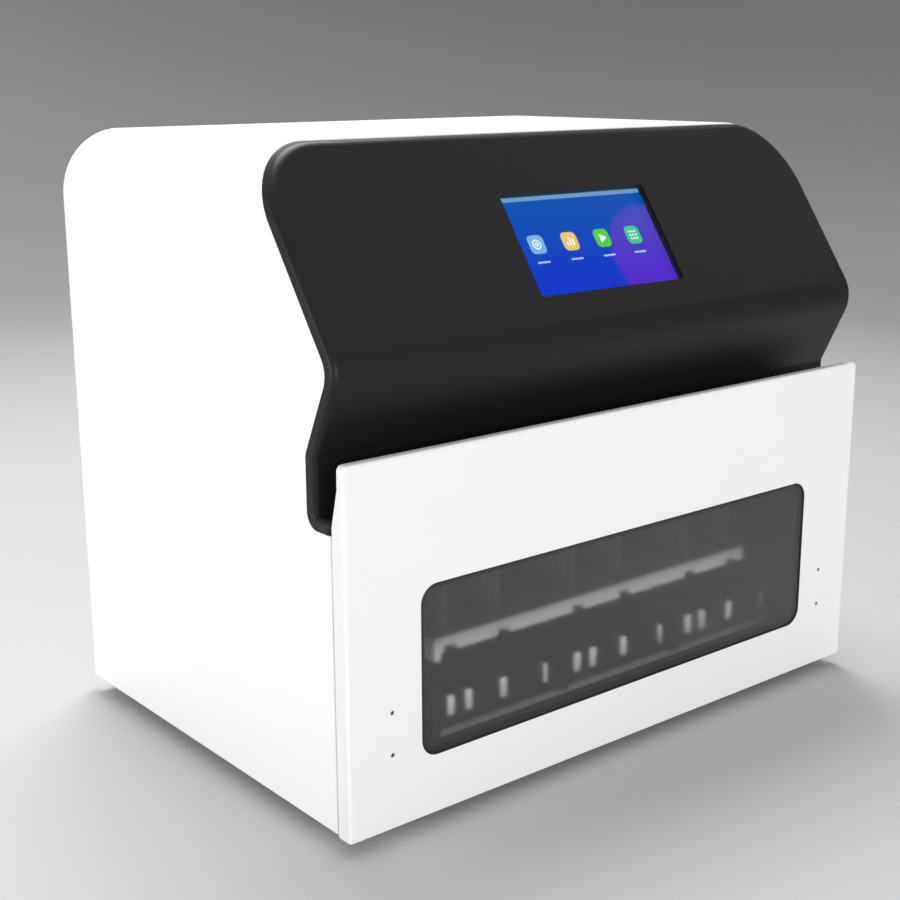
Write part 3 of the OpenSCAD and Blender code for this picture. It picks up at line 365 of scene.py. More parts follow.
@dataclass(frozen=True)
class Wallpaper:
    """Generic picture behind the icons: a blue field that deepens, and one soft violet disc.

    Attributes:
        name: The material's name.
        place: Matrix from the picture's own plane to the instrument.
        disc_x_mm: Sideways place of the disc's middle.
        disc_y_mm: Height of the disc's middle.
        disc_r_mm: Radius of the disc.
        disc_soft_mm: Width over which its edge fades.
        field_mm: Height over which the colours change.
        blue: Colours of the field at its foot and its top, in sRGB.
        violet: Colours of the disc at the field's foot and its top, in sRGB.
    """

    name: str
    place: Matrix
    disc_x_mm: float = 66.0
    disc_y_mm: float = -20.0
    disc_r_mm: float = 52.0
    disc_soft_mm: float = 9.0
    field_mm: float = 87.0
    blue: tuple[str, str] = ("0234cc", "0250b4")
    violet: tuple[str, str] = ("5226cc", "4a4cbc")

    def material(self) -> bpy.types.Material:
        """Makes the picture in the plane's own coordinates.

        Returns:
            The new material.
        """
        made, tree = empty_material(self.name)
        where = add_node(tree, "ShaderNodeTexCoord").outputs["Object"]
        plane = add_node(tree, "ShaderNodeMapping", {
            "Vector": where, "Location": self.place.to_translation(), "Rotation": self.place.to_euler("XYZ"),
        }, vector_type="TEXTURE")
        axes = add_node(tree, "ShaderNodeSeparateXYZ", {"Vector": plane.outputs["Vector"]})
        half = self.field_mm / 2 * MM
        depth = add_node(tree, "ShaderNodeMapRange", {
            "Value": axes.outputs["Y"], "From Min": -half, "From Max": half,
        }, interpolation_type="SMOOTHSTEP")
        field_tone = add_node(tree, "ShaderNodeMix", {
            "Factor": depth.outputs["Result"], 6: linear(self.blue[0]), 7: linear(self.blue[1]),
        }, data_type="RGBA")
        disc = (self.disc_x_mm * MM, self.disc_y_mm * MM, 0.0)
        flat = add_node(tree, "ShaderNodeCombineXYZ", {"X": axes.outputs["X"], "Y": axes.outputs["Y"]})
        away = add_node(tree, "ShaderNodeVectorMath", {
            0: flat.outputs["Vector"], 1: disc,
        }, operation="DISTANCE")
        inside = add_node(tree, "ShaderNodeMapRange", {
            "Value": away.outputs["Value"], "From Min": self.disc_r_mm * MM,
            "From Max": (self.disc_r_mm - self.disc_soft_mm) * MM,
        }, interpolation_type="SMOOTHSTEP")
        disc_tone = add_node(tree, "ShaderNodeMix", {
            "Factor": depth.outputs["Result"], 6: linear(self.violet[0]), 7: linear(self.violet[1]),
        }, data_type="RGBA")
        picture = add_node(tree, "ShaderNodeMix", {
            "Factor": inside.outputs["Result"], 6: field_tone.outputs[2], 7: disc_tone.outputs[2],
        }, data_type="RGBA")
        surface = add_node(tree, "ShaderNodeBsdfPrincipled", {
            "Base Color": linear("050505"), "Roughness": 0.4, "Specular IOR Level": 0.0,
            "Emission Color": picture.outputs[2], "Emission Strength": 1.0,
        })
        add_node(tree, "ShaderNodeOutputMaterial", {"Surface": surface.outputs["BSDF"]})
        return made


# ---- Shapes ----


def placed(origin: Sequence[float], axis: str = "Z") -> Matrix:
    """Gives the place of a shape whose own +Z runs along an axis of the instrument.

    Args:
        origin: The shape's origin, in metres.
        axis: "X", "Y", "Z" or "-Y".

    Returns:
        The matrix from the shape's own frame to the instrument's.
    """
    turns = {
        "X": Matrix.Rotation(math.pi / 2, 4, "Y"),
        "Y": Matrix.Rotation(-math.pi / 2, 4, "X"),
        "-Y": Matrix.Rotation(math.pi / 2, 4, "X"),
        "Z": Matrix.Identity(4),
    }
    return Matrix.Translation(Vector(origin)) @ turns[axis]


def rounded_plate(
    mesh: bmesh.types.BMesh, place: Matrix, width: float, height: float, radius: float, thickness: float,
    steps: int = 6,
) -> None:
    """Adds a plate with round corners that rises along the place's +Z.

    Args:
        mesh: The mesh that the plate joins.
        place: Middle of the plate's foot.
        width: Size along the place's X, in metres.
        height: Size along the place's Y, in metres.
        radius: Rounding of the four corners, in metres.
        thickness: Rise along the place's Z, in metres.
        steps: Segments of each corner.
    """
    sheet = bmesh.new()
    bmesh.ops.create_grid(sheet, x_segments=1, y_segments=1, size=0.5)
    bmesh.ops.scale(sheet, vec=(width, height, 1.0), verts=sheet.verts)
    raise_sheet(mesh, sheet, place, radius, thickness, steps)


def raise_sheet(
    mesh: bmesh.types.BMesh, sheet: bmesh.types.BMesh, place: Matrix, radius: float, thickness: float,
    steps: int,
) -> None:
    """Rounds the corners of a flat sheet, gives it its thickness and joins it to a mesh.

    Args:
        mesh: The mesh that the plate joins.
        sheet: One flat face, which is used up.
        place: Matrix from the sheet's own frame to the instrument's.
        radius: Rounding of the corners, in metres.
        thickness: Rise along the place's Z, in metres.
        steps: Segments of each corner.
    """
    bmesh.ops.bevel(
        sheet, geom=sheet.verts[:], offset=radius, offset_type="OFFSET", segments=steps, profile=0.5,
        affect="VERTICES", material=-1,
    )
    grown = bmesh.ops.extrude_face_region(sheet, geom=sheet.faces[:])
    lifted = [item for item in grown["geom"] if isinstance(item, bmesh.types.BMVert)]
    bmesh.ops.translate(sheet, vec=(0.0, 0.0, thickness), verts=lifted)
    bmesh.ops.transform(sheet, matrix=place, verts=sheet.verts)
    bmesh.ops.recalc_face_normals(sheet, faces=sheet.faces)
    join(mesh, sheet)


def join(mesh: bmesh.types.BMesh, other: bmesh.types.BMesh) -> None:
    """Moves everything of one mesh into another and frees it.

    Args:
        mesh: The mesh that stays.
        other: The mesh that is used up.
    """
    carrier = bpy.data.meshes.new("carrier")
    other.to_mesh(carrier)
    other.free()
    mesh.from_mesh(carrier)
    bpy.data.meshes.remove(carrier)


def turned(
    mesh: bmesh.types.BMesh, place: Matrix, profile: Sequence[tuple[float, float]], steps: int = 32,
) -> None:
    """Adds a shape turned on a lathe about the place's Z.

    Args:
        mesh: The mesh that the shape joins.
        place: The lathe's axis and foot.
        profile: Radius and height of each point, in millimetres, from one pole or rim to the other.
        steps: Segments round the axis.
    """
    blank = bmesh.new()
    points = [blank.verts.new((radius * MM, 0.0, height * MM)) for radius, height in profile]
    edges = [blank.edges.new(pair) for pair in zip(points, points[1:])]
    bmesh.ops.spin(
        blank, geom=points + edges, cent=(0, 0, 0), axis=(0, 0, 1), dvec=(0, 0, 0), angle=2 * math.pi,
        steps=steps, use_merge=True,
    )
    bmesh.ops.remove_doubles(blank, verts=blank.verts, dist=WELD)
    bmesh.ops.recalc_face_normals(blank, faces=blank.faces)
    bmesh.ops.transform(blank, matrix=place, verts=blank.verts)
    join(mesh, blank)


def rod(mesh: bmesh.types.BMesh, place: Matrix, diameter: float, length: float, steps: int = 24) -> None:
    """Adds a plain round bar with a broken edge at each end.

    Args:
        mesh: The mesh that the bar joins.
        place: The bar's foot and axis.
        diameter: In millimetres.
        length: In millimetres.
        steps: Segments round the axis.
    """
    r = diameter / 2
    edge = min(0.3, r / 4)
    profile = [(0, 0), (r - edge, 0), (r, edge), (r, length - edge), (r - edge, length), (0, length)]
    turned(mesh, place, profile, steps)


def pan_screw(mesh: bmesh.types.BMesh, place: Matrix, head: float, rise: float, steps: int = 24) -> None:
    """Adds a domed screw head with a hexagon socket.

    Args:
        mesh: The mesh that the head joins.
        place: Where the head sits, +Z outwards.
        head: Diameter of the head, in millimetres.
        rise: Height of the head, in millimetres.
        steps: Segments round the axis.
    """
    r = head / 2 * MM
    h = rise * MM
    socket = r * 0.52
    screw = bmesh.new()
    dome = ((r, 0.0), (r, h * 0.35), (r * 0.93, h * 0.68), (r * 0.76, h * 0.93), (r * 0.62, h))
    outline = [(steps, *point) for point in dome] + [(6, socket, h), (6, socket, h * 0.35)]
    rings = []
    for sides, radius, height in outline:
        level = Matrix.Translation((0, 0, height))
        rings.append(bmesh.ops.create_circle(screw, segments=sides, radius=radius, matrix=level)["verts"])
    for low, high in zip(rings, rings[1:]):
        loops = [edge for edge in screw.edges if edge.verts[0] in low and edge.verts[1] in low]
        loops += [edge for edge in screw.edges if edge.verts[0] in high and edge.verts[1] in high]
        bmesh.ops.bridge_loops(screw, edges=loops)
    bmesh.ops.contextual_create(screw, geom=rings[-1])
    bmesh.ops.contextual_create(screw, geom=rings[0])
    bmesh.ops.recalc_face_normals(screw, faces=screw.faces)
    bmesh.ops.transform(screw, matrix=place, verts=screw.verts)
    join(mesh, screw)


def threaded(
    mesh: bmesh.types.BMesh, place: Matrix, diameter: float, length: float, lead: float, starts: int,
    depth: float, steps: int = 16,
) -> None:
    """Adds a lead screw's trapezoidal thread, swept as one helix with its real lead.

    Args:
        mesh: The mesh that the thread joins.
        place: The screw's foot and axis.
        diameter: Over the crests, in millimetres.
        length: Threaded length, in millimetres.
        lead: Advance in one turn, in millimetres.
        starts: Number of parallel threads.
        depth: Depth of the thread, in millimetres.
        steps: Segments in one turn.
    """
    crest = diameter / 2
    root = crest - depth
    pitch = lead / starts
    shape = ((crest, 0.0), (crest, 0.36), (root, 0.5), (root, 0.86))
    points = [(r, (start + share) * pitch) for start in range(starts) for r, share in shape]
    points.append((crest, lead))
    helix = bmesh.new()
    corners = [helix.verts.new((r * MM, 0.0, z * MM)) for r, z in points]
    edges = [helix.edges.new(pair) for pair in zip(corners, corners[1:])]
    turns = int(length / lead) - 1
    bmesh.ops.spin(
        helix, geom=corners + edges, cent=(0, 0, 0), axis=(0, 0, 1), dvec=(0, 0, lead / steps * MM),
        angle=2 * math.pi * turns, steps=steps * turns,
    )
    bmesh.ops.remove_doubles(helix, verts=helix.verts, dist=WELD)
    bmesh.ops.holes_fill(helix, edges=[edge for edge in helix.edges if edge.is_boundary], sides=0)
    bmesh.ops.recalc_face_normals(helix, faces=helix.faces)
    bmesh.ops.transform(helix, matrix=place, verts=helix.verts)
    join(mesh, helix)


def ring(mesh: bmesh.types.BMesh, place: Matrix, diameter: float, wire: float, steps: int = 48) -> None:
    """Adds a closed ring of round wire about the place's Z.

    Args:
        mesh: The mesh that the ring joins.
        place: The ring's middle and axis.
        diameter: To the middle of the wire, in millimetres.
        wire: Diameter of the wire, in millimetres.
        steps: Segments round the ring.
    """
    loop = bmesh.new()
    stand = Matrix.Translation((diameter / 2 * MM, 0, 0)) @ Matrix.Rotation(math.pi / 2, 4, "X")
    section = bmesh.ops.create_circle(loop, segments=10, radius=wire / 2 * MM, matrix=stand)
    edges = list({edge for corner in section["verts"] for edge in corner.link_edges})
    bmesh.ops.spin(
        loop, geom=section["verts"] + edges, cent=(0, 0, 0), axis=(0, 0, 1), dvec=(0, 0, 0),
        angle=2 * math.pi, steps=steps, use_merge=True,
    )
    bmesh.ops.remove_doubles(loop, verts=loop.verts, dist=WELD)
    bmesh.ops.recalc_face_normals(loop, faces=loop.faces)
    bmesh.ops.transform(loop, matrix=place, verts=loop.verts)
    join(mesh, loop)


def block(mesh: bmesh.types.BMesh, low: Sequence[float], high: Sequence[float], edge: float = 0.0) -> None:
    """Adds a block between two corners, with its edges broken.

    Args:
        mesh: The mesh that the block joins.
        low: Lowest corner, in metres.
        high: Highest corner, in metres.
        edge: Width of the broken edges, in metres.
    """
    a, b = Vector(low), Vector(high)
    cube = bmesh.new()
    bmesh.ops.create_cube(cube, size=1.0)
    bmesh.ops.scale(cube, vec=b - a, verts=cube.verts)
    bmesh.ops.translate(cube, vec=(a + b) / 2, verts=cube.verts)
    if edge:
        bmesh.ops.bevel(
            cube, geom=cube.edges[:], offset=edge, offset_type="OFFSET", segments=2, profile=0.5,
            affect="EDGES", material=-1,
        )
    join(mesh, cube)


def shade(piece: bpy.types.Object) -> None:
    """Smooths the shading of a piece and keeps its real edges sharp.

    Args:
        piece: The mesh object.
    """
    piece.data.polygons.foreach_set("use_smooth", [True] * len(piece.data.polygons))
    piece.data.set_sharp_from_angle(angle=SMOOTH_ANGLE)


def make_piece(
    name: str, mesh: bmesh.types.BMesh, material: bpy.types.Material, body: str,
    nodes: Iterable[str] = (),
) -> bpy.types.Object:
    """Turns a finished mesh into a piece of the instrument.

    Args:
        name: The piece's name.
        mesh: Its mesh, in the instrument's frame. It is used up.
        material: Its finish.
        body: The body that it moves with.
        nodes: The CAD nodes that it stands for.

    Returns:
        The new object.
    """
    data = bpy.data.meshes.new(name)
    mesh.to_mesh(data)
    mesh.free()
    data.materials.append(material)
    piece = bpy.data.objects.new(name, data)
    bpy.context.scene.collection.objects.link(piece)
    shade(piece)
    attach(piece, body)
    if nodes:
        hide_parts(*nodes)
    log.info("%s rides on %s, %d faces", name, body, len(data.polygons))
    return piece


def stand_in(name: str, mesh: bmesh.types.BMesh, finish: Finish, node: str) -> bpy.types.Object:
    """Makes the piece that shows in place of a CAD node, on its body.

    Args:
        name: The piece's name.
        mesh: Its mesh, which is used up.
        finish: Its finish.
        node: The CAD node that it stands for.

    Returns:
        The new object.
    """
    return make_piece(name, mesh, finish.material(), BODY_OF[node], [node])


def round_rim(
    shell: bmesh.types.BMesh, rim: list[bmesh.types.BMEdge], width_mm: float, segments: int,
) -> None:
    """Rounds the wide moulded rim of a shell.

    Args:
        shell: The shell.
        rim: The edges of its rim.
        width_mm: Width of the rounding.
        segments: Facets across it.
    """
    log.info("a rim of %d edges", len(rim))
    bmesh.ops.bevel(
        shell, geom=rim, offset=width_mm * MM, offset_type="OFFSET", segments=segments, profile=0.5,
        affect="EDGES", clamp_overlap=False, material=-1,
    )


def break_edges(piece: bpy.types.Object, width_mm: float, segments: int = 2) -> None:
    """Rounds every real edge of a piece with a live modifier, and keeps its large faces flat to the light.

    Args:
        piece: The mesh object.
        width_mm: Width of the rounding.
        segments: Facets across it.
    """
    rounding = piece.modifiers.new("broken_edges", "BEVEL")
    rounding.width = width_mm * MM
    rounding.segments = segments
    rounding.limit_method = "ANGLE"
    rounding.angle_limit = SMOOTH_ANGLE
    rounding.harden_normals = True
    rounding.miter_outer = "MITER_ARC"
    flat = piece.modifiers.new("flat_faces", "WEIGHTED_NORMAL")
    flat.mode = "FACE_AREA"
    flat.weight = 80
    flat.keep_sharp = True


def merged_copy(node: str) -> bmesh.types.BMesh:
    """Copies a CAD node's mesh, with its loose triangles merged into whole faces.

    Args:
        node: The CAD node.

    Returns:
        The copy, in the instrument's frame.
    """
    mesh = bmesh.new()
    mesh.from_mesh(frame["nodes"][node].data)
    bmesh.ops.remove_doubles(mesh, verts=mesh.verts, dist=WELD)
    bmesh.ops.dissolve_limit(mesh, angle_limit=FLAT_ANGLE, verts=mesh.verts, edges=mesh.edges)
    return mesh


@dataclass(frozen=True)
class Part:
    """A CAD piece whose shape is right, with the finish and the edges of the real one.

    Plates with many cut-outs keep their CAD mesh, because their merged faces fold over the holes.

    Attributes:
        node: The CAD node.
        finish: Its finish.
        edge_mm: Width of its broken edges, or zero to leave the CAD mesh as it is.
        segments: Facets across a broken edge.
    """

    node: str
    finish: Finish
    edge_mm: float = 0.0
    segments: int = 2

    def dress(self) -> bpy.types.Object:
        """Gives the piece its finish, on a copy with broken edges where it has any.

        Returns:
            The object that shows.
        """
        source = frame["nodes"][self.node]
        if not self.edge_mm:
            source.data.materials.clear()
            source.data.materials.append(self.finish.material())
            log.info("%s keeps its CAD mesh, in %s", self.node, self.finish.name)
            return source
        piece = stand_in(self.node + "_finished", merged_copy(self.node), self.finish, self.node)
        break_edges(piece, self.edge_mm, self.segments)
        return piece


def middle(node: str) -> Vector:
    """Returns the middle of a CAD node's box, in metres."""
    low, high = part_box(node)
    return (low + high) / 2


# ---- Sub-assemblies ----


@dataclass
class Casing:
    """Outer cover, plates and feet, with the screws that hold the rear panel."""

    parts: tuple[Part, ...] = (
        Part("outer_cover", POWDER_COAT, 0.8, 3),
        Part("base_plate", ZINC_SHEET),
        Part("rear_panel", POWDER_COAT),
        Part("front_frame", POWDER_COAT, 0.5),
    )
    foot_r_mm: float = 18.0
    foot_plug_r_mm: float = 14.0
    foot_recess_r_mm: float = 6.0
    foot_groove_mm: float = 0.6
    foot_groove_r_mm: tuple[float, ...] = (10.2, 13.8)
    foot_screw_mm: tuple[float, float] = (8.0, 2.6)
    rear_screw_mm: tuple[float, float] = (6.0, 2.2)
    rear_screw_inset_mm: float = 9.0
    side_screw_shares: tuple[float, ...] = (0.03, 0.33, 0.62, 0.86)
    top_screw_x_mm: tuple[float, ...] = (-170.0, 0.0, 170.0)
    low_screw_x_mm: tuple[float, ...] = (-170.0, 0.0)

    def build(self) -> None:
        """Builds the casing."""
        for part in self.parts:
            part.dress()
        self.feet()
        self.rear_screws()

    def feet(self) -> None:
        """Turns the four rubber feet with a grooved sole and a screw in the recess."""
        low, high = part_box("rubber_feet")
        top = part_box("outer_cover")[0].z
        rise = (top - low.z) / MM
        plug_top = (high.z - low.z) / MM
        outer, plug = self.foot_r_mm, self.foot_plug_r_mm
        recess, depth = self.foot_recess_r_mm, self.foot_groove_mm
        sole = outer - 1.5
        groove = ((-0.8, 0), (-0.4, depth), (0.4, depth), (0.8, 0))
        profile = [
            (0, rise / 2), (recess - 0.4, rise / 2), (recess, rise / 2 - 0.4), (recess, 0.5),
            (recess + 0.5, 0),
            *((radius + side, sunk) for radius in self.foot_groove_r_mm for side, sunk in groove),
            (sole - 0.6, 0), (sole, 0.6), (outer, rise - 0.05), (plug, rise - 0.05), (plug, plug_top),
            (0, plug_top),
        ]
        feet = bmesh.new()
        screws = bmesh.new()
        reach = outer * MM
        for x in (low.x + reach, high.x - reach):
            for y in (low.y + reach, high.y - reach):
                turned(feet, placed((x, y, low.z)), profile, 48)
                down = Matrix.Translation((x, y, low.z + rise / 2 * MM)) @ Matrix.Rotation(math.pi, 4, "X")
                pan_screw(screws, down, *self.foot_screw_mm)
        stand_in("foot_pads", feet, RUBBER, "rubber_feet")
        make_piece("foot_screws", screws, SCREW_STEEL.material(), "housing")

    def rear_screws(self) -> None:
        """Sets pan-head screws round the rear panel."""
        low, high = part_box("rear_panel")
        inset = self.rear_screw_inset_mm * MM
        sides = (low.x + inset, high.x - inset)
        places = [(x, low.z + share * (high.z - low.z)) for x in sides for share in self.side_screw_shares]
        places += [(x * MM, high.z - inset) for x in self.top_screw_x_mm]
        places += [(x * MM, low.z + inset) for x in self.low_screw_x_mm]
        screws = bmesh.new()
        for x, z in places:
            pan_screw(screws, placed((x, high.y, z), "Y"), *self.rear_screw_mm)
        make_piece("rear_panel_screws", screws, SCREW_STEEL.material(), "housing")


@dataclass
class Display:
    """Touch display behind the window of the sloping brow."""

    brow_rise_mm: float = 147.0
    brow_run_mm: float = 102.0
    lit_w_mm: float = 155.0
    lit_h_mm: float = 87.0
    glass_t_mm: float = 1.6
    glass_margin_mm: tuple[float, float] = (14.0, 10.0)
    air_mm: float = 0.15
    layer_mm: float = 0.03
    status_h_mm: float = 3.6
    icon_mm: float = 16.0
    icon_r_mm: float = 4.4
    icon_y_mm: float = 2.4
    icon_x_mm: tuple[float, ...] = (-55.0, -20.2, 14.8, 49.6)
    icon_colours: tuple[str, ...] = ("7fb4e6", "f3c766", "52cf3c", "3fc98c")
    caption_mm: tuple[float, float] = (13.0, 1.7)
    caption_drop_mm: float = 15.4
    bars_mm: tuple[float, ...] = (3.6, 7.6, 5.4)
    sign_pitch_mm: float = 3.1

    def build(self) -> None:
        """Builds the display from its module outwards."""
        centre = middle("touch_glass")
        tilt = math.atan2(self.brow_rise_mm, self.brow_run_mm)
        face = Matrix.Translation(centre) @ Matrix.Rotation(tilt, 4, "X")
        back = face @ Matrix.Translation((0, 0, -self.glass_t_mm / 2 * MM))
        self.lit_layers(back)
        self.glass(back)
        Part("display_module", GREY_PLASTIC).dress()
        Part("display_bezel", NYLON_BLACK, 0.3).dress()

    def layer(self, name: str, back: Matrix, count: int) -> tuple[bmesh.types.BMesh, Matrix]:
        """Starts a thin printed layer of the picture.

        Args:
            name: The layer's name, for the log.
            back: Plane of the module's front.
            count: How many layers lie under it.

        Returns:
            An empty mesh and the plane on which the layer's shapes stand.
        """
        log.info("layer %s on level %d", name, count)
        return bmesh.new(), back @ Matrix.Translation((0, 0, count * self.layer_mm * MM))

    def light(self, name: str, mesh: bmesh.types.BMesh, look: Glow | Wallpaper) -> None:
        """Makes one lit piece of the picture."""
        make_piece(name, mesh, look.material(), "housing")

    def lit_layers(self, back: Matrix) -> None:
        """Lays the picture, the status bar, the icons, their signs and their blank captions.

        Args:
            back: Plane of the module's front.
        """
        field, plane = self.layer("picture", back, 0)
        rounded_plate(field, plane, self.lit_w_mm * MM, self.lit_h_mm * MM, 1 * MM, self.layer_mm * MM)
        self.light("display_picture", field, Wallpaper("display_picture_blue_violet", back))

        bar, plane = self.layer("status bar", back, 1)
        bar_y = (self.lit_h_mm - self.status_h_mm) / 2 * MM
        place = plane @ Matrix.Translation((0, bar_y, 0))
        rounded_plate(bar, place, self.lit_w_mm * MM, self.status_h_mm * MM, 0.3 * MM, self.layer_mm * MM)
        self.light("display_status_bar", bar, Glow("display_status_bar_pale_blue", "6f9fd0"))

        signs, top = self.layer("signs", back, 2)
        captions, low = self.layer("captions", back, 1)
        for index, (x, colour) in enumerate(zip(self.icon_x_mm, self.icon_colours)):
            tile, plane = self.layer("icon", back, 1)
            spot = Matrix.Translation((x * MM, self.icon_y_mm * MM, 0))
            side = self.icon_mm * MM
            rounded_plate(tile, plane @ spot, side, side, self.icon_r_mm * MM, self.layer_mm * MM)
            name = f"display_icon_{index + 1}"
            self.light(name, tile, Glow(name + "_glow", colour))
            self.sign(signs, top @ spot, index)
            under = Matrix.Translation((x * MM, (self.icon_y_mm - self.caption_drop_mm) * MM, 0))
            width, height = (size * MM for size in self.caption_mm)
            rounded_plate(captions, low @ under, width, height, 0.8 * MM, self.layer_mm * MM)
        self.light("display_signs", signs, Glow("display_signs_white", "f4f8ff"))
        self.light("display_captions", captions, Glow("display_captions_pale", "a9c4ee"))

    def sign(self, mesh: bmesh.types.BMesh, spot: Matrix, index: int) -> None:
        """Draws one generic sign: a ring, three bars, a start triangle or a grid of wells.

        Args:
            mesh: The mesh that the sign joins.
            spot: Middle of the icon.
            index: Which of the four signs.
        """
        thin = self.layer_mm * MM
        if index == 0:
            flat = Matrix.Translation((0, 0, thin / 2)) @ Matrix.Scale(0.05, 4, (0, 0, 1))
            for diameter in (7.4, 2.6):
                ring(mesh, spot @ flat, diameter, 1.3)
        elif index == 1:
            for column, height in enumerate(self.bars_mm):
                foot = (height - max(self.bars_mm)) / 2 * MM
                at = Matrix.Translation(((column - 1) * self.sign_pitch_mm * MM, foot, 0))
                rounded_plate(mesh, spot @ at, 1.9 * MM, height * MM, 0.6 * MM, thin)
        elif index == 2:
            wedge = bmesh.new()
            bmesh.ops.create_circle(wedge, cap_ends=True, segments=3, radius=4.8 * MM)
            raise_sheet(mesh, wedge, spot @ Matrix.Rotation(-math.pi / 2, 4, "Z"), 0.9 * MM, thin, 4)
        else:
            for column in range(3):
                for row in range(3):
                    step = self.sign_pitch_mm * MM
                    at = Matrix.Translation(((column - 1) * step, (row - 1) * step, 0))
                    rounded_plate(mesh, spot @ at, 2.0 * MM, 2.0 * MM, 0.99 * MM, thin)

    def glass(self, back: Matrix) -> None:
        """Lays the touch glass over the picture, with a hair of air between them.

        Args:
            back: Plane of the module's front.
        """
        pane = bmesh.new()
        plane = back @ Matrix.Translation((0, 0, self.air_mm * MM))
        width, height = self.lit_w_mm + self.glass_margin_mm[0], self.lit_h_mm + self.glass_margin_mm[1]
        rounded_plate(pane, plane, width * MM, height * MM, 3 * MM, (self.glass_t_mm - self.air_mm) * MM)
        stand_in("touch_glass_clear", pane, COATED_GLASS, "touch_glass")


@dataclass
class Fascia:
    """Black moulded front shell with its S-shaped side view."""

    rim_mm: float = 4.5
    rim_segments: int = 8
    rim_reach_mm: float = 60.0
    edge_mm: float = 0.4

    def build(self) -> None:
        """Builds the fascia, with the wide round rim of its outer edge."""
        shell = merged_copy("front_fascia")
        rim = [edge for edge in shell.edges if self.on_rim(edge)]
        round_rim(shell, rim, self.rim_mm, self.rim_segments)
        piece = stand_in("front_fascia_finished", shell, GRAINED_ABS, "front_fascia")
        break_edges(piece, self.edge_mm)

    def on_rim(self, edge: bmesh.types.BMEdge) -> bool:
        """Tells whether an edge joins the fascia's front surface to its side or its top.

        Args:
            edge: An edge of the merged shell.

        Returns:
            True on the outer rim alone.
        """
        if not edge.is_manifold or edge.calc_face_angle() < SMOOTH_ANGLE:
            return False
        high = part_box("front_fascia")[1]
        reach = self.rim_reach_mm * MM
        if any(abs(v.co.x) < high.x - reach and v.co.z < high.z - 1 * MM for v in edge.verts):
            return False
        normals = [face.normal for face in edge.link_faces]
        fronts = [n for n in normals if abs(n.x) < 0.01 and (n.y < -0.02 or n.z > 0.9)]
        sides = [n for n in normals if abs(n.x) > 0.01 or n.z > 0.9]
        tip = edge.verts[0].co
        return bool(fronts) and any(n.x * tip.x > 0 or n.z > 0.9 for n in sides)


@dataclass
class Door:
    """Fold-down door with its window, hinge leaves, screws and strike plates."""

    parts: tuple[Part, ...] = (
        Part("window_pane", SMOKED_ACRYLIC, 0.4),
        Part("window_gasket", RUBBER, 0.2),
        Part("hinge_leaves", ZINC_SHEET, 0.3),
        Part("strike_plates", ZINC_SHEET, 0.3),
        Part("door_seal", RUBBER, 0.4),
        Part("latch_magnets", CHROMED_STEEL, 0.4),
        Part("hinge_brackets", ZINC_SHEET, 0.3),
        Part("hinge_pins", CHROMED_STEEL, 0.3),
    )
    screw_mm: float = 3.0
    screw_depth_mm: float = 1.0
    rim_mm: float = 2.4
    rim_segments: int = 5
    rim_reach_mm: float = 8.0
    edge_mm: float = 0.4

    def build(self) -> None:
        """Builds the door and what it closes against."""
        self.panel()
        for part in self.parts:
            part.dress()
        self.screws()

    def panel(self) -> None:
        """Rounds the panel's sides and top, and masks the edge of its window in black.

        The foot stays square, because the skin in front of the hinge notches is thinner than the rim.
        """
        shell = merged_copy("door_panel")
        low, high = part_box("door_panel")
        front = [v for v in shell.verts if v.co.y < low.y + WELD]
        ends = (min(v.co.x for v in front), max(v.co.x for v in front))
        reach = self.rim_reach_mm * MM
        rim = [
            edge for edge in shell.edges
            if all(v in front for v in edge.verts) and edge.calc_face_angle(0.0) > SMOOTH_ANGLE
            and any(v.co.z > low.z + WELD for v in edge.verts)
            and any(min(v.co.x - ends[0], ends[1] - v.co.x, high.z - v.co.z) < reach for v in edge.verts)
        ]
        round_rim(shell, rim, self.rim_mm, self.rim_segments)
        foot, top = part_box("window_gasket")
        for face in shell.faces:
            spots = [v.co for v in face.verts]
            across = all(foot.x - WELD < at.x < top.x + WELD for at in spots)
            if across and all(foot.z - WELD < at.z < top.z + WELD for at in spots):
                face.material_index = 1
        piece = stand_in("door_panel_finished", shell, PAINTED_ABS, "door_panel")
        piece.data.materials.append(MASK_PAINT.material())
        break_edges(piece, self.edge_mm)

    def screws(self) -> None:
        """Sets a small socket screw in each of the door's four holes."""
        low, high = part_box("door_screws")
        r = self.screw_mm / 2 * MM
        length = (high.y - low.y) / MM
        screws = bmesh.new()
        depth = self.screw_depth_mm
        for x in (low.x + r, high.x - r):
            for z in (low.z + r, high.z - r):
                seat = (x, low.y + depth * MM, z)
                rod(screws, placed(seat, "Y"), self.screw_mm - 0.4, length - depth)
                pan_screw(screws, placed(seat, "-Y"), self.screw_mm, depth)
        stand_in("door_screws_socket", screws, SCREW_STEEL, "door_screws")


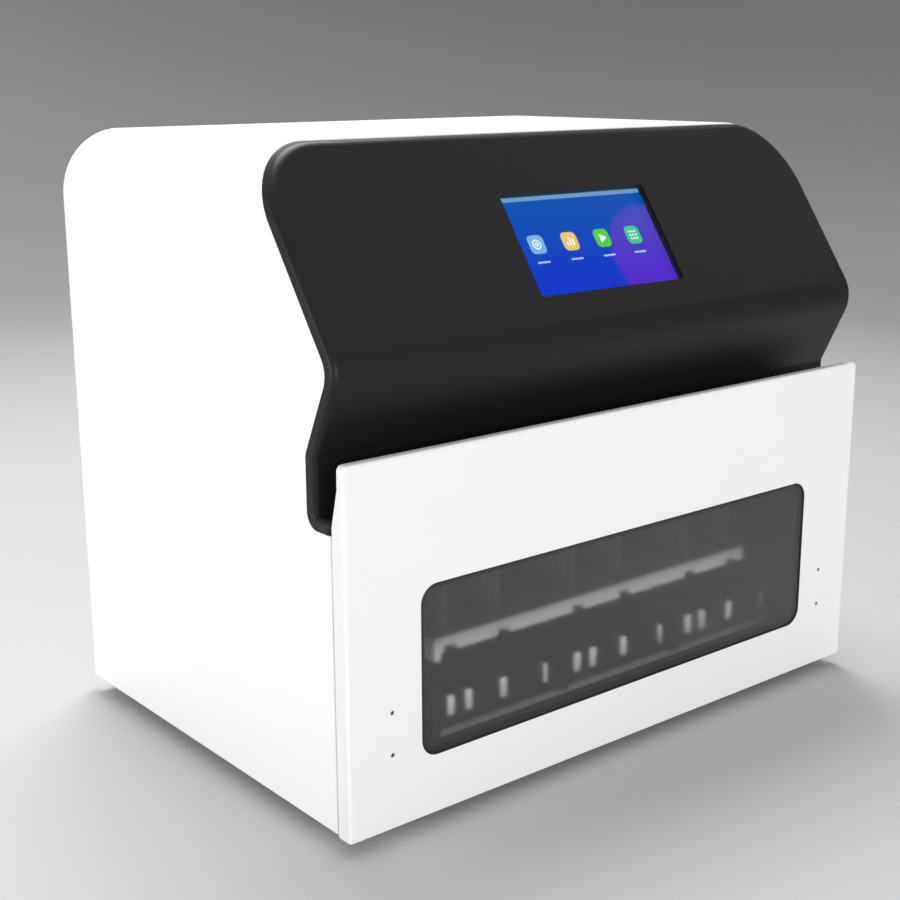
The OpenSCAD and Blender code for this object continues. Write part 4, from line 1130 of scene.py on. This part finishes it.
@dataclass
class Chamber:
    """Liner, tower and germicidal tube."""

    parts: tuple[Part, ...] = (
        Part("chamber_liner", BLACK_COAT, 0.3),
        Part("tower_plate", BLACK_ALUMINIUM, 0.5),
        Part("lamp_holders", WHITE_PLASTIC, 0.6),
    )
    cap_mm: float = 12.0

    def build(self) -> None:
        """Builds the chamber."""
        for part in self.parts:
            part.dress()
        self.tube()

    def tube(self) -> None:
        """Turns the tube with round shoulders and a metal cap at each end."""
        low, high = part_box("uv_tube")
        r = (high.z - low.z) / 2 / MM
        length = (high.x - low.x) / MM
        cap = self.cap_mm
        start = (low.x, (low.y + high.y) / 2, (low.z + high.z) / 2)
        glass = bmesh.new()
        turned(glass, placed(start, "X"), [
            (0, cap), (r - 2.2, cap), (r - 0.8, cap + 1.2), (r - 0.3, cap + 4), (r - 0.3, length - cap - 4),
            (r - 0.8, length - cap - 1.2), (r - 2.2, length - cap), (0, length - cap),
        ], 32)
        stand_in("uv_tube_quartz", glass, QUARTZ, "uv_tube")
        caps = bmesh.new()
        for foot in (0.0, length - cap):
            at = placed((start[0] + foot * MM, start[1], start[2]), "X")
            turned(caps, at, [(0, 0), (r - 0.5, 0), (r, 0.5), (r, cap - 0.5), (r - 0.5, cap), (0, cap)], 32)
        make_piece("uv_tube_caps", caps, DRAWN_STEEL.material(), "housing")


@dataclass
class LeadScrew:
    """A four-start lead screw with its plain journals.

    Attributes:
        node: The CAD node that it stands for.
        axis: Axis along which it runs.
        journal_low_mm: Length and diameter of the journal at its foot, if it has one.
        journal_high_mm: Length and diameter of the journal at its top.
        diameter_mm: Diameter over the thread.
        lead_mm: Advance in one turn.
        starts: Number of parallel threads.
        depth_mm: Depth of the thread.
    """

    node: str
    axis: str
    journal_low_mm: tuple[float, float]
    journal_high_mm: tuple[float, float]
    diameter_mm: float = 8.0
    lead_mm: float = 8.0
    starts: int = 4
    depth_mm: float = 0.6

    def build(self) -> None:
        """Cuts the thread between the two journals."""
        low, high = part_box(self.node)
        centre = (low + high) / 2
        along = Vector((1, 0, 0)) if self.axis == "X" else Vector((0, 0, 1))
        length = (high - low).dot(along) / MM
        foot = centre - along * length / 2 * MM
        low_len, low_d = self.journal_low_mm
        high_len, high_d = self.journal_high_mm
        screw = bmesh.new()
        thread = length - low_len - high_len
        start = placed(foot + along * low_len * MM, self.axis)
        threaded(screw, start, self.diameter_mm, thread, self.lead_mm, self.starts, self.depth_mm)
        core = self.diameter_mm - 2 * self.depth_mm - 0.1
        rod(screw, start, core, thread)
        if low_len:
            rod(screw, placed(foot, self.axis), low_d, low_len)
        rod(screw, placed(foot + along * (length - high_len) * MM, self.axis), high_d, high_len)
        stand_in(self.node + "_threaded", screw, CHROMED_STEEL, self.node)


@dataclass
class Deck:
    """Shifting deck with its heater blocks, rails and drive."""

    parts: tuple[Part, ...] = (
        Part("deck_base", BRUSHED_ALUMINIUM),
        Part("deck_rails", CHROMED_STEEL, 0.3),
        Part("deck_bearing", BRUSHED_ALUMINIUM, 0.4),
        Part("deck_motor", NYLON_BLACK, 0.5),
        Part("deck_carriage", BLASTED_ALUMINIUM, 0.4),
        Part("deck_blocks", NYLON_BLACK, 0.4),
        Part("deck_nut", BRONZE, 0.4),
        Part("deck_plate", BLACK_ALUMINIUM),
    )
    edge_mm: float = 0.5

    def build(self) -> None:
        """Builds the deck and its screw."""
        for part in self.parts:
            part.dress()
        self.heaters()
        LeadScrew("deck_screw", "X", (4.0, 6.0), (11.5, 5.0)).build()

    def heaters(self) -> None:
        """Finishes the heater blocks in black, with a painted highlight of pale bare aluminium on the front
        faces, where the light falls.
        """
        shell = merged_copy("heater_blocks")
        for face in shell.faces:
            # Painted highlight: the front faces get pale bare aluminium for the light that falls on them.
            if face.normal.y < -0.9:
                face.material_index = 1
        piece = stand_in("heater_blocks_finished", shell, BLACK_ALUMINIUM, "heater_blocks")
        piece.data.materials.append(LIT_FRONT_ALUMINIUM.material())
        break_edges(piece, self.edge_mm)


@dataclass
class Head:
    """Lifting head with its comb carrier, rods and drives."""

    parts: tuple[Part, ...] = (
        Part("lift_rails", CHROMED_STEEL, 0.3),
        Part("lift_coupling", BLASTED_ALUMINIUM, 0.4),
        Part("lift_bearing", BRUSHED_ALUMINIUM, 0.4),
        Part("lift_motor", NYLON_BLACK, 0.6),
        Part("motor_bracket", ZINC_SHEET, 0.3),
        Part("comb_carrier", BLASTED_ALUMINIUM, 0.5),
        Part("head_bracket", BLACK_ALUMINIUM, 0.4),
        Part("lift_blocks", NYLON_BLACK, 0.4),
        Part("lift_nut", BRONZE, 0.4),
        Part("guide_shafts", CHROMED_STEEL, 0.4),
        Part("rod_motor", NYLON_BLACK, 0.6),
        Part("rod_plate", BLASTED_ALUMINIUM, 0.4),
        Part("magnet_rods", CHROMED_STEEL, 0.6),
        Part("rod_bushings", BRONZE, 0.3),
        Part("rod_nut", BRONZE, 0.3),
    )

    def build(self) -> None:
        """Builds the head and its screws."""
        for part in self.parts:
            part.dress()
        LeadScrew("lift_screw", "Z", (0.0, 0.0), (23.0, 5.0)).build()
        LeadScrew("rod_screw", "Z", (0.0, 0.0), (9.0, 5.0)).build()


@dataclass
class Services:
    """Fan, mains inlet, switch, sockets, supply and board."""

    parts: tuple[Part, ...] = (
        Part("power_supply", ZINC_SHEET, 0.4),
        Part("control_board", SOLDER_RESIST),
        Part("mains_inlet", NYLON_BLACK, 0.4),
        Part("switch_frame", NYLON_BLACK, 0.4),
        Part("power_rocker", NYLON_RED, 0.5, 3),
        Part("fan_frame", NYLON_BLACK, 0.5),
        Part("fan_rotor", NYLON_BLACK, 0.3),
        Part("data_sockets", DRAWN_STEEL, 0.3),
    )
    wire_mm: float = 1.8
    guard_rings: int = 5
    guard_inset_mm: float = 10.0
    guard_hub_mm: float = 14.0
    ear_inset_mm: float = 4.5
    ear_ring_mm: float = 6.4
    spoke_gap_mm: float = 4.0
    guard_screw_mm: tuple[float, float] = (7.0, 1.8)
    inlet_depth_mm: float = 17.0
    pin_mm: tuple[float, float, float] = (2.0, 11.0, 4.0)
    pin_places_mm: tuple[tuple[float, float], ...] = ((-7.0, -2.0), (0.0, 2.0), (7.0, -2.0))
    inlet_screw_mm: tuple[float, float] = (5.4, 1.4)
    inlet_screw_x_mm: tuple[float, float] = (-20.0, 20.0)
    inlet_screw_sink_mm: float = 0.2
    rocker_rise_mm: float = 3.0
    rocker_run_mm: float = 9.5
    mark_mm: tuple[float, float, float] = (1.1, 5.0, 0.15)
    mark_sink_mm: float = 1.45
    mark_up_mm: float = 5.2
    tongue_mm: tuple[float, float, float] = (9.0, 7.0, 1.5)
    tongue_x_mm: float = 7.2
    tongue_z_mm: tuple[float, float] = (-3.8, 4.2)
    tongue_depth_mm: float = 8.5
    contact_mm: tuple[float, float, float] = (0.4, 8.0, 0.5)
    contact_x_mm: float = 7.7
    contact_up_mm: float = 1.6
    contact_depth_mm: float = 11.5
    contact_pitch_mm: float = 1.02
    contact_count: int = 8

    def build(self) -> None:
        """Builds what stands in and on the rear panel."""
        for part in self.parts:
            part.dress()
        self.fan_guard()
        self.inlet_pins()
        self.switch_marks()
        self.socket_contacts()

    def fan_guard(self) -> None:
        """Bends the fan guard from round wire, with a screw through each ear."""
        low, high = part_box("fan_guard")
        centre = middle("fan_guard")
        half = (high.x - low.x) / 2 / MM
        wire = self.wire_mm
        guard = bmesh.new()
        screws = bmesh.new()
        outer = 2 * half - self.guard_inset_mm
        step = (outer - self.guard_hub_mm) / self.guard_rings
        seat = low.y + wire / 2 * MM
        hub = placed((centre.x, seat, centre.z), "Y")
        for index in range(self.guard_rings):
            ring(guard, hub, outer - step * index, wire)
        ear = half - self.ear_inset_mm
        inner = self.guard_hub_mm / 2
        for quarter in range(4):
            angle = math.radians(45 + 90 * quarter)
            across = Vector((math.cos(angle), 0, math.sin(angle)))
            spoke = Matrix.Rotation(math.pi / 2 - angle, 4, "Y")
            foot = centre + across * inner * MM
            place = Matrix.Translation((foot.x, seat, foot.z)) @ spoke
            rod(guard, place, wire, ear * math.sqrt(2) - inner - self.spoke_gap_mm, 12)
            x = centre.x + math.copysign(ear, across.x) * MM
            z = centre.z + math.copysign(ear, across.z) * MM
            hole = placed((x, seat, z), "Y")
            ring(guard, hole, self.ear_ring_mm, wire, 24)
            pan_screw(screws, hole, *self.guard_screw_mm)
        ring(guard, hub, self.guard_hub_mm, wire)
        stand_in("fan_guard_wire", guard, CHROMED_STEEL, "fan_guard")
        make_piece("fan_guard_screws", screws, SCREW_STEEL.material(), "housing")

    def inlet_pins(self) -> None:
        """Sets the three flat pins of the mains inlet and its two screws."""
        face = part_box("mains_inlet")[1].y
        centre = middle("mains_inlet")
        floor = face - self.inlet_depth_mm * MM
        size = Vector(self.pin_mm) * MM
        pins = bmesh.new()
        for x, z in self.pin_places_mm:
            corner = Vector((centre.x + x * MM - size.x / 2, floor, centre.z + z * MM - size.z / 2))
            block(pins, corner, corner + size, 0.3 * MM)
        make_piece("inlet_pins", pins, CHROMED_STEEL.material(), "housing")
        screws = bmesh.new()
        for x in self.inlet_screw_x_mm:
            seat = (centre.x + x * MM, face - self.inlet_screw_sink_mm * MM, centre.z)
            pan_screw(screws, placed(seat, "Y"), *self.inlet_screw_mm)
        make_piece("inlet_screws", screws, BLACK_SCREW.material(), "housing")

    def switch_marks(self) -> None:
        """Raises the plain bar that marks the rocker's upper end."""
        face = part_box("power_rocker")[1].y
        centre = middle("power_rocker")
        marks = bmesh.new()
        tilt = math.atan2(self.rocker_rise_mm, self.rocker_run_mm)
        spot = (centre.x, face - self.mark_sink_mm * MM, centre.z + self.mark_up_mm * MM)
        top = Matrix.Translation(spot) @ Matrix.Rotation(-math.pi / 2 + tilt, 4, "X")
        width, height, rise = (size * MM for size in self.mark_mm)
        rounded_plate(marks, top, width, height, 0.3 * MM, rise)
        make_piece("switch_marks", marks, WHITE_PLASTIC.material(), "rocker")

    def socket_contacts(self) -> None:
        """Sets the tongues of the two serial sockets and the contacts of the network socket."""
        low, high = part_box("data_sockets")
        mid_z = (low.z + high.z) / 2
        left = low.x + self.tongue_x_mm * MM
        size = Vector(self.tongue_mm) * MM
        tongues = bmesh.new()
        for z in self.tongue_z_mm:
            corner = Vector((left - size.x / 2, high.y - self.tongue_depth_mm * MM, mid_z + z * MM))
            block(tongues, corner, corner + size, 0.2 * MM)
        make_piece("socket_tongues", tongues, WHITE_PLASTIC.material(), "housing")
        right = high.x - self.contact_x_mm * MM
        size = Vector(self.contact_mm) * MM
        contacts = bmesh.new()
        for index in range(self.contact_count):
            row = index - (self.contact_count - 1) / 2
            x = right + row * self.contact_pitch_mm * MM - size.x / 2
            corner = Vector((x, high.y - self.contact_depth_mm * MM, mid_z + self.contact_up_mm * MM))
            block(contacts, corner, corner + size)
        make_piece("socket_contacts", contacts, GOLD_FLASH.material(), "housing")


@dataclass
class Studio:
    """Seamless grey paper, soft lights and the camera."""

    floor_m: float = 2.2
    sweep_m: float = 1.6
    wall_m: float = 2.0
    sweep_steps: int = 16
    round_steps: int = 96
    camera_m: tuple[float, float, float] = (-0.82589, -0.97785, 0.54254)
    yaw_deg: float = 39.297
    pitch_deg: float = 14.387
    roll_deg: float = -0.233
    lens_mm: float = 59.68
    sensor_mm: float = 36.0
    room_colour: str = "f8f9fb"
    room_strength: float = 0.64

    def build(self) -> None:
        """Sets up the floor, the room's light, the lamps and the camera."""
        self.floor()
        self.room()
        self.lamp("key_left", (-2.8, 0.4, 0.36), (0.0, 0.2, 0.25), (2.4, 0.6), 34.0)
        self.lamp("top_soft", (0.4, 1.0, 2.3), (0.0, 0.0, 0.3), (1.4, 1.4), 50.0)
        self.lamp("front_fill", (-0.45, -3.0, 0.6), (0.0, 0.0, 0.25), (2.0, 0.6), 37.0)
        chamber = self.lamp("chamber_light", (0.0, -0.174, 0.088), (0.0, 0.1, 0.1), (0.4, 0.05), 0.42)
        for seen_by in ("visible_camera", "visible_glossy", "visible_transmission"):
            setattr(chamber, seen_by, False)
        self.camera()

    def floor(self) -> None:
        """Lays the seamless floor, which sweeps up all round into a plain wall."""
        flat, sweep, wall = (size / MM for size in (self.floor_m, self.sweep_m, self.wall_m))
        angles = [math.pi / 2 * i / self.sweep_steps for i in range(self.sweep_steps + 1)]
        curve = [(flat + sweep * math.sin(angle), sweep * (1 - math.cos(angle))) for angle in angles]
        sheet = bmesh.new()
        turned(sheet, Matrix.Identity(4), [(0, 0), *curve, (flat + sweep, wall)], self.round_steps)
        bmesh.ops.reverse_faces(sheet, faces=sheet.faces)
        data = bpy.data.meshes.new("studio_floor")
        sheet.to_mesh(data)
        sheet.free()
        data.materials.append(STUDIO_PAPER.material())
        piece = bpy.data.objects.new("studio_floor", data)
        bpy.context.scene.collection.objects.link(piece)
        shade(piece)

    def room(self) -> None:
        """Fills the room with even grey light."""
        world = bpy.data.worlds.new("studio_room")
        world.use_nodes = True
        tree = world.node_tree
        tree.nodes.clear()
        glow = add_node(tree, "ShaderNodeBackground", {
            "Color": linear(self.room_colour), "Strength": self.room_strength,
        })
        add_node(tree, "ShaderNodeOutputWorld", {"Surface": glow.outputs["Background"]})
        bpy.context.scene.world = world

    def lamp(
        self, name: str, place: tuple[float, float, float], target: tuple[float, float, float],
        size: tuple[float, float], watts: float,
    ) -> bpy.types.Object:
        """Hangs a rectangular soft light.

        Args:
            name: The light's name.
            place: Its place, in metres.
            target: The point that it faces.
            size: Its width and height, in metres.
            watts: Its power.

        Returns:
            The light.
        """
        data = bpy.data.lights.new(name, "AREA")
        data.shape = "RECTANGLE"
        data.size, data.size_y = size
        data.energy = watts
        light = bpy.data.objects.new(name, data)
        bpy.context.scene.collection.objects.link(light)
        light.location = place
        light.rotation_euler = (Vector(target) - Vector(place)).to_track_quat("-Z", "Y").to_euler()
        return light

    def camera(self) -> None:
        """Stands the camera at the left front corner, a little above the instrument."""
        yaw, pitch, roll = (math.radians(a) for a in (self.yaw_deg, self.pitch_deg, self.roll_deg))
        ahead = Vector((math.sin(yaw) * math.cos(pitch), math.cos(yaw) * math.cos(pitch), -math.sin(pitch)))
        level = Vector((math.cos(yaw), -math.sin(yaw), 0.0))
        upright = level.cross(ahead)
        right = math.cos(roll) * level + math.sin(roll) * upright
        up = math.cos(roll) * upright - math.sin(roll) * level
        turn = Matrix((right, up, -ahead)).transposed().to_4x4()
        data = bpy.data.cameras.new("three_quarter_view")
        data.sensor_width = self.sensor_mm
        data.lens = self.lens_mm
        view = bpy.data.objects.new("three_quarter_view", data)
        view.matrix_world = Matrix.Translation(self.camera_m) @ turn
        bpy.context.scene.collection.objects.link(view)
        bpy.context.scene.camera = view


def main() -> None:
    """Builds the studio and every sub-assembly in order."""
    logging.basicConfig(level=logging.INFO, format="%(message)s")
    bpy.context.scene.view_settings.view_transform = "Standard"
    for assembly in (Studio(), Casing(), Fascia(), Display(), Door(), Chamber(), Deck(), Head(), Services()):
        log.info("building %s", type(assembly).__name__)
        assembly.build()


if __name__ == "__main__":
    main()
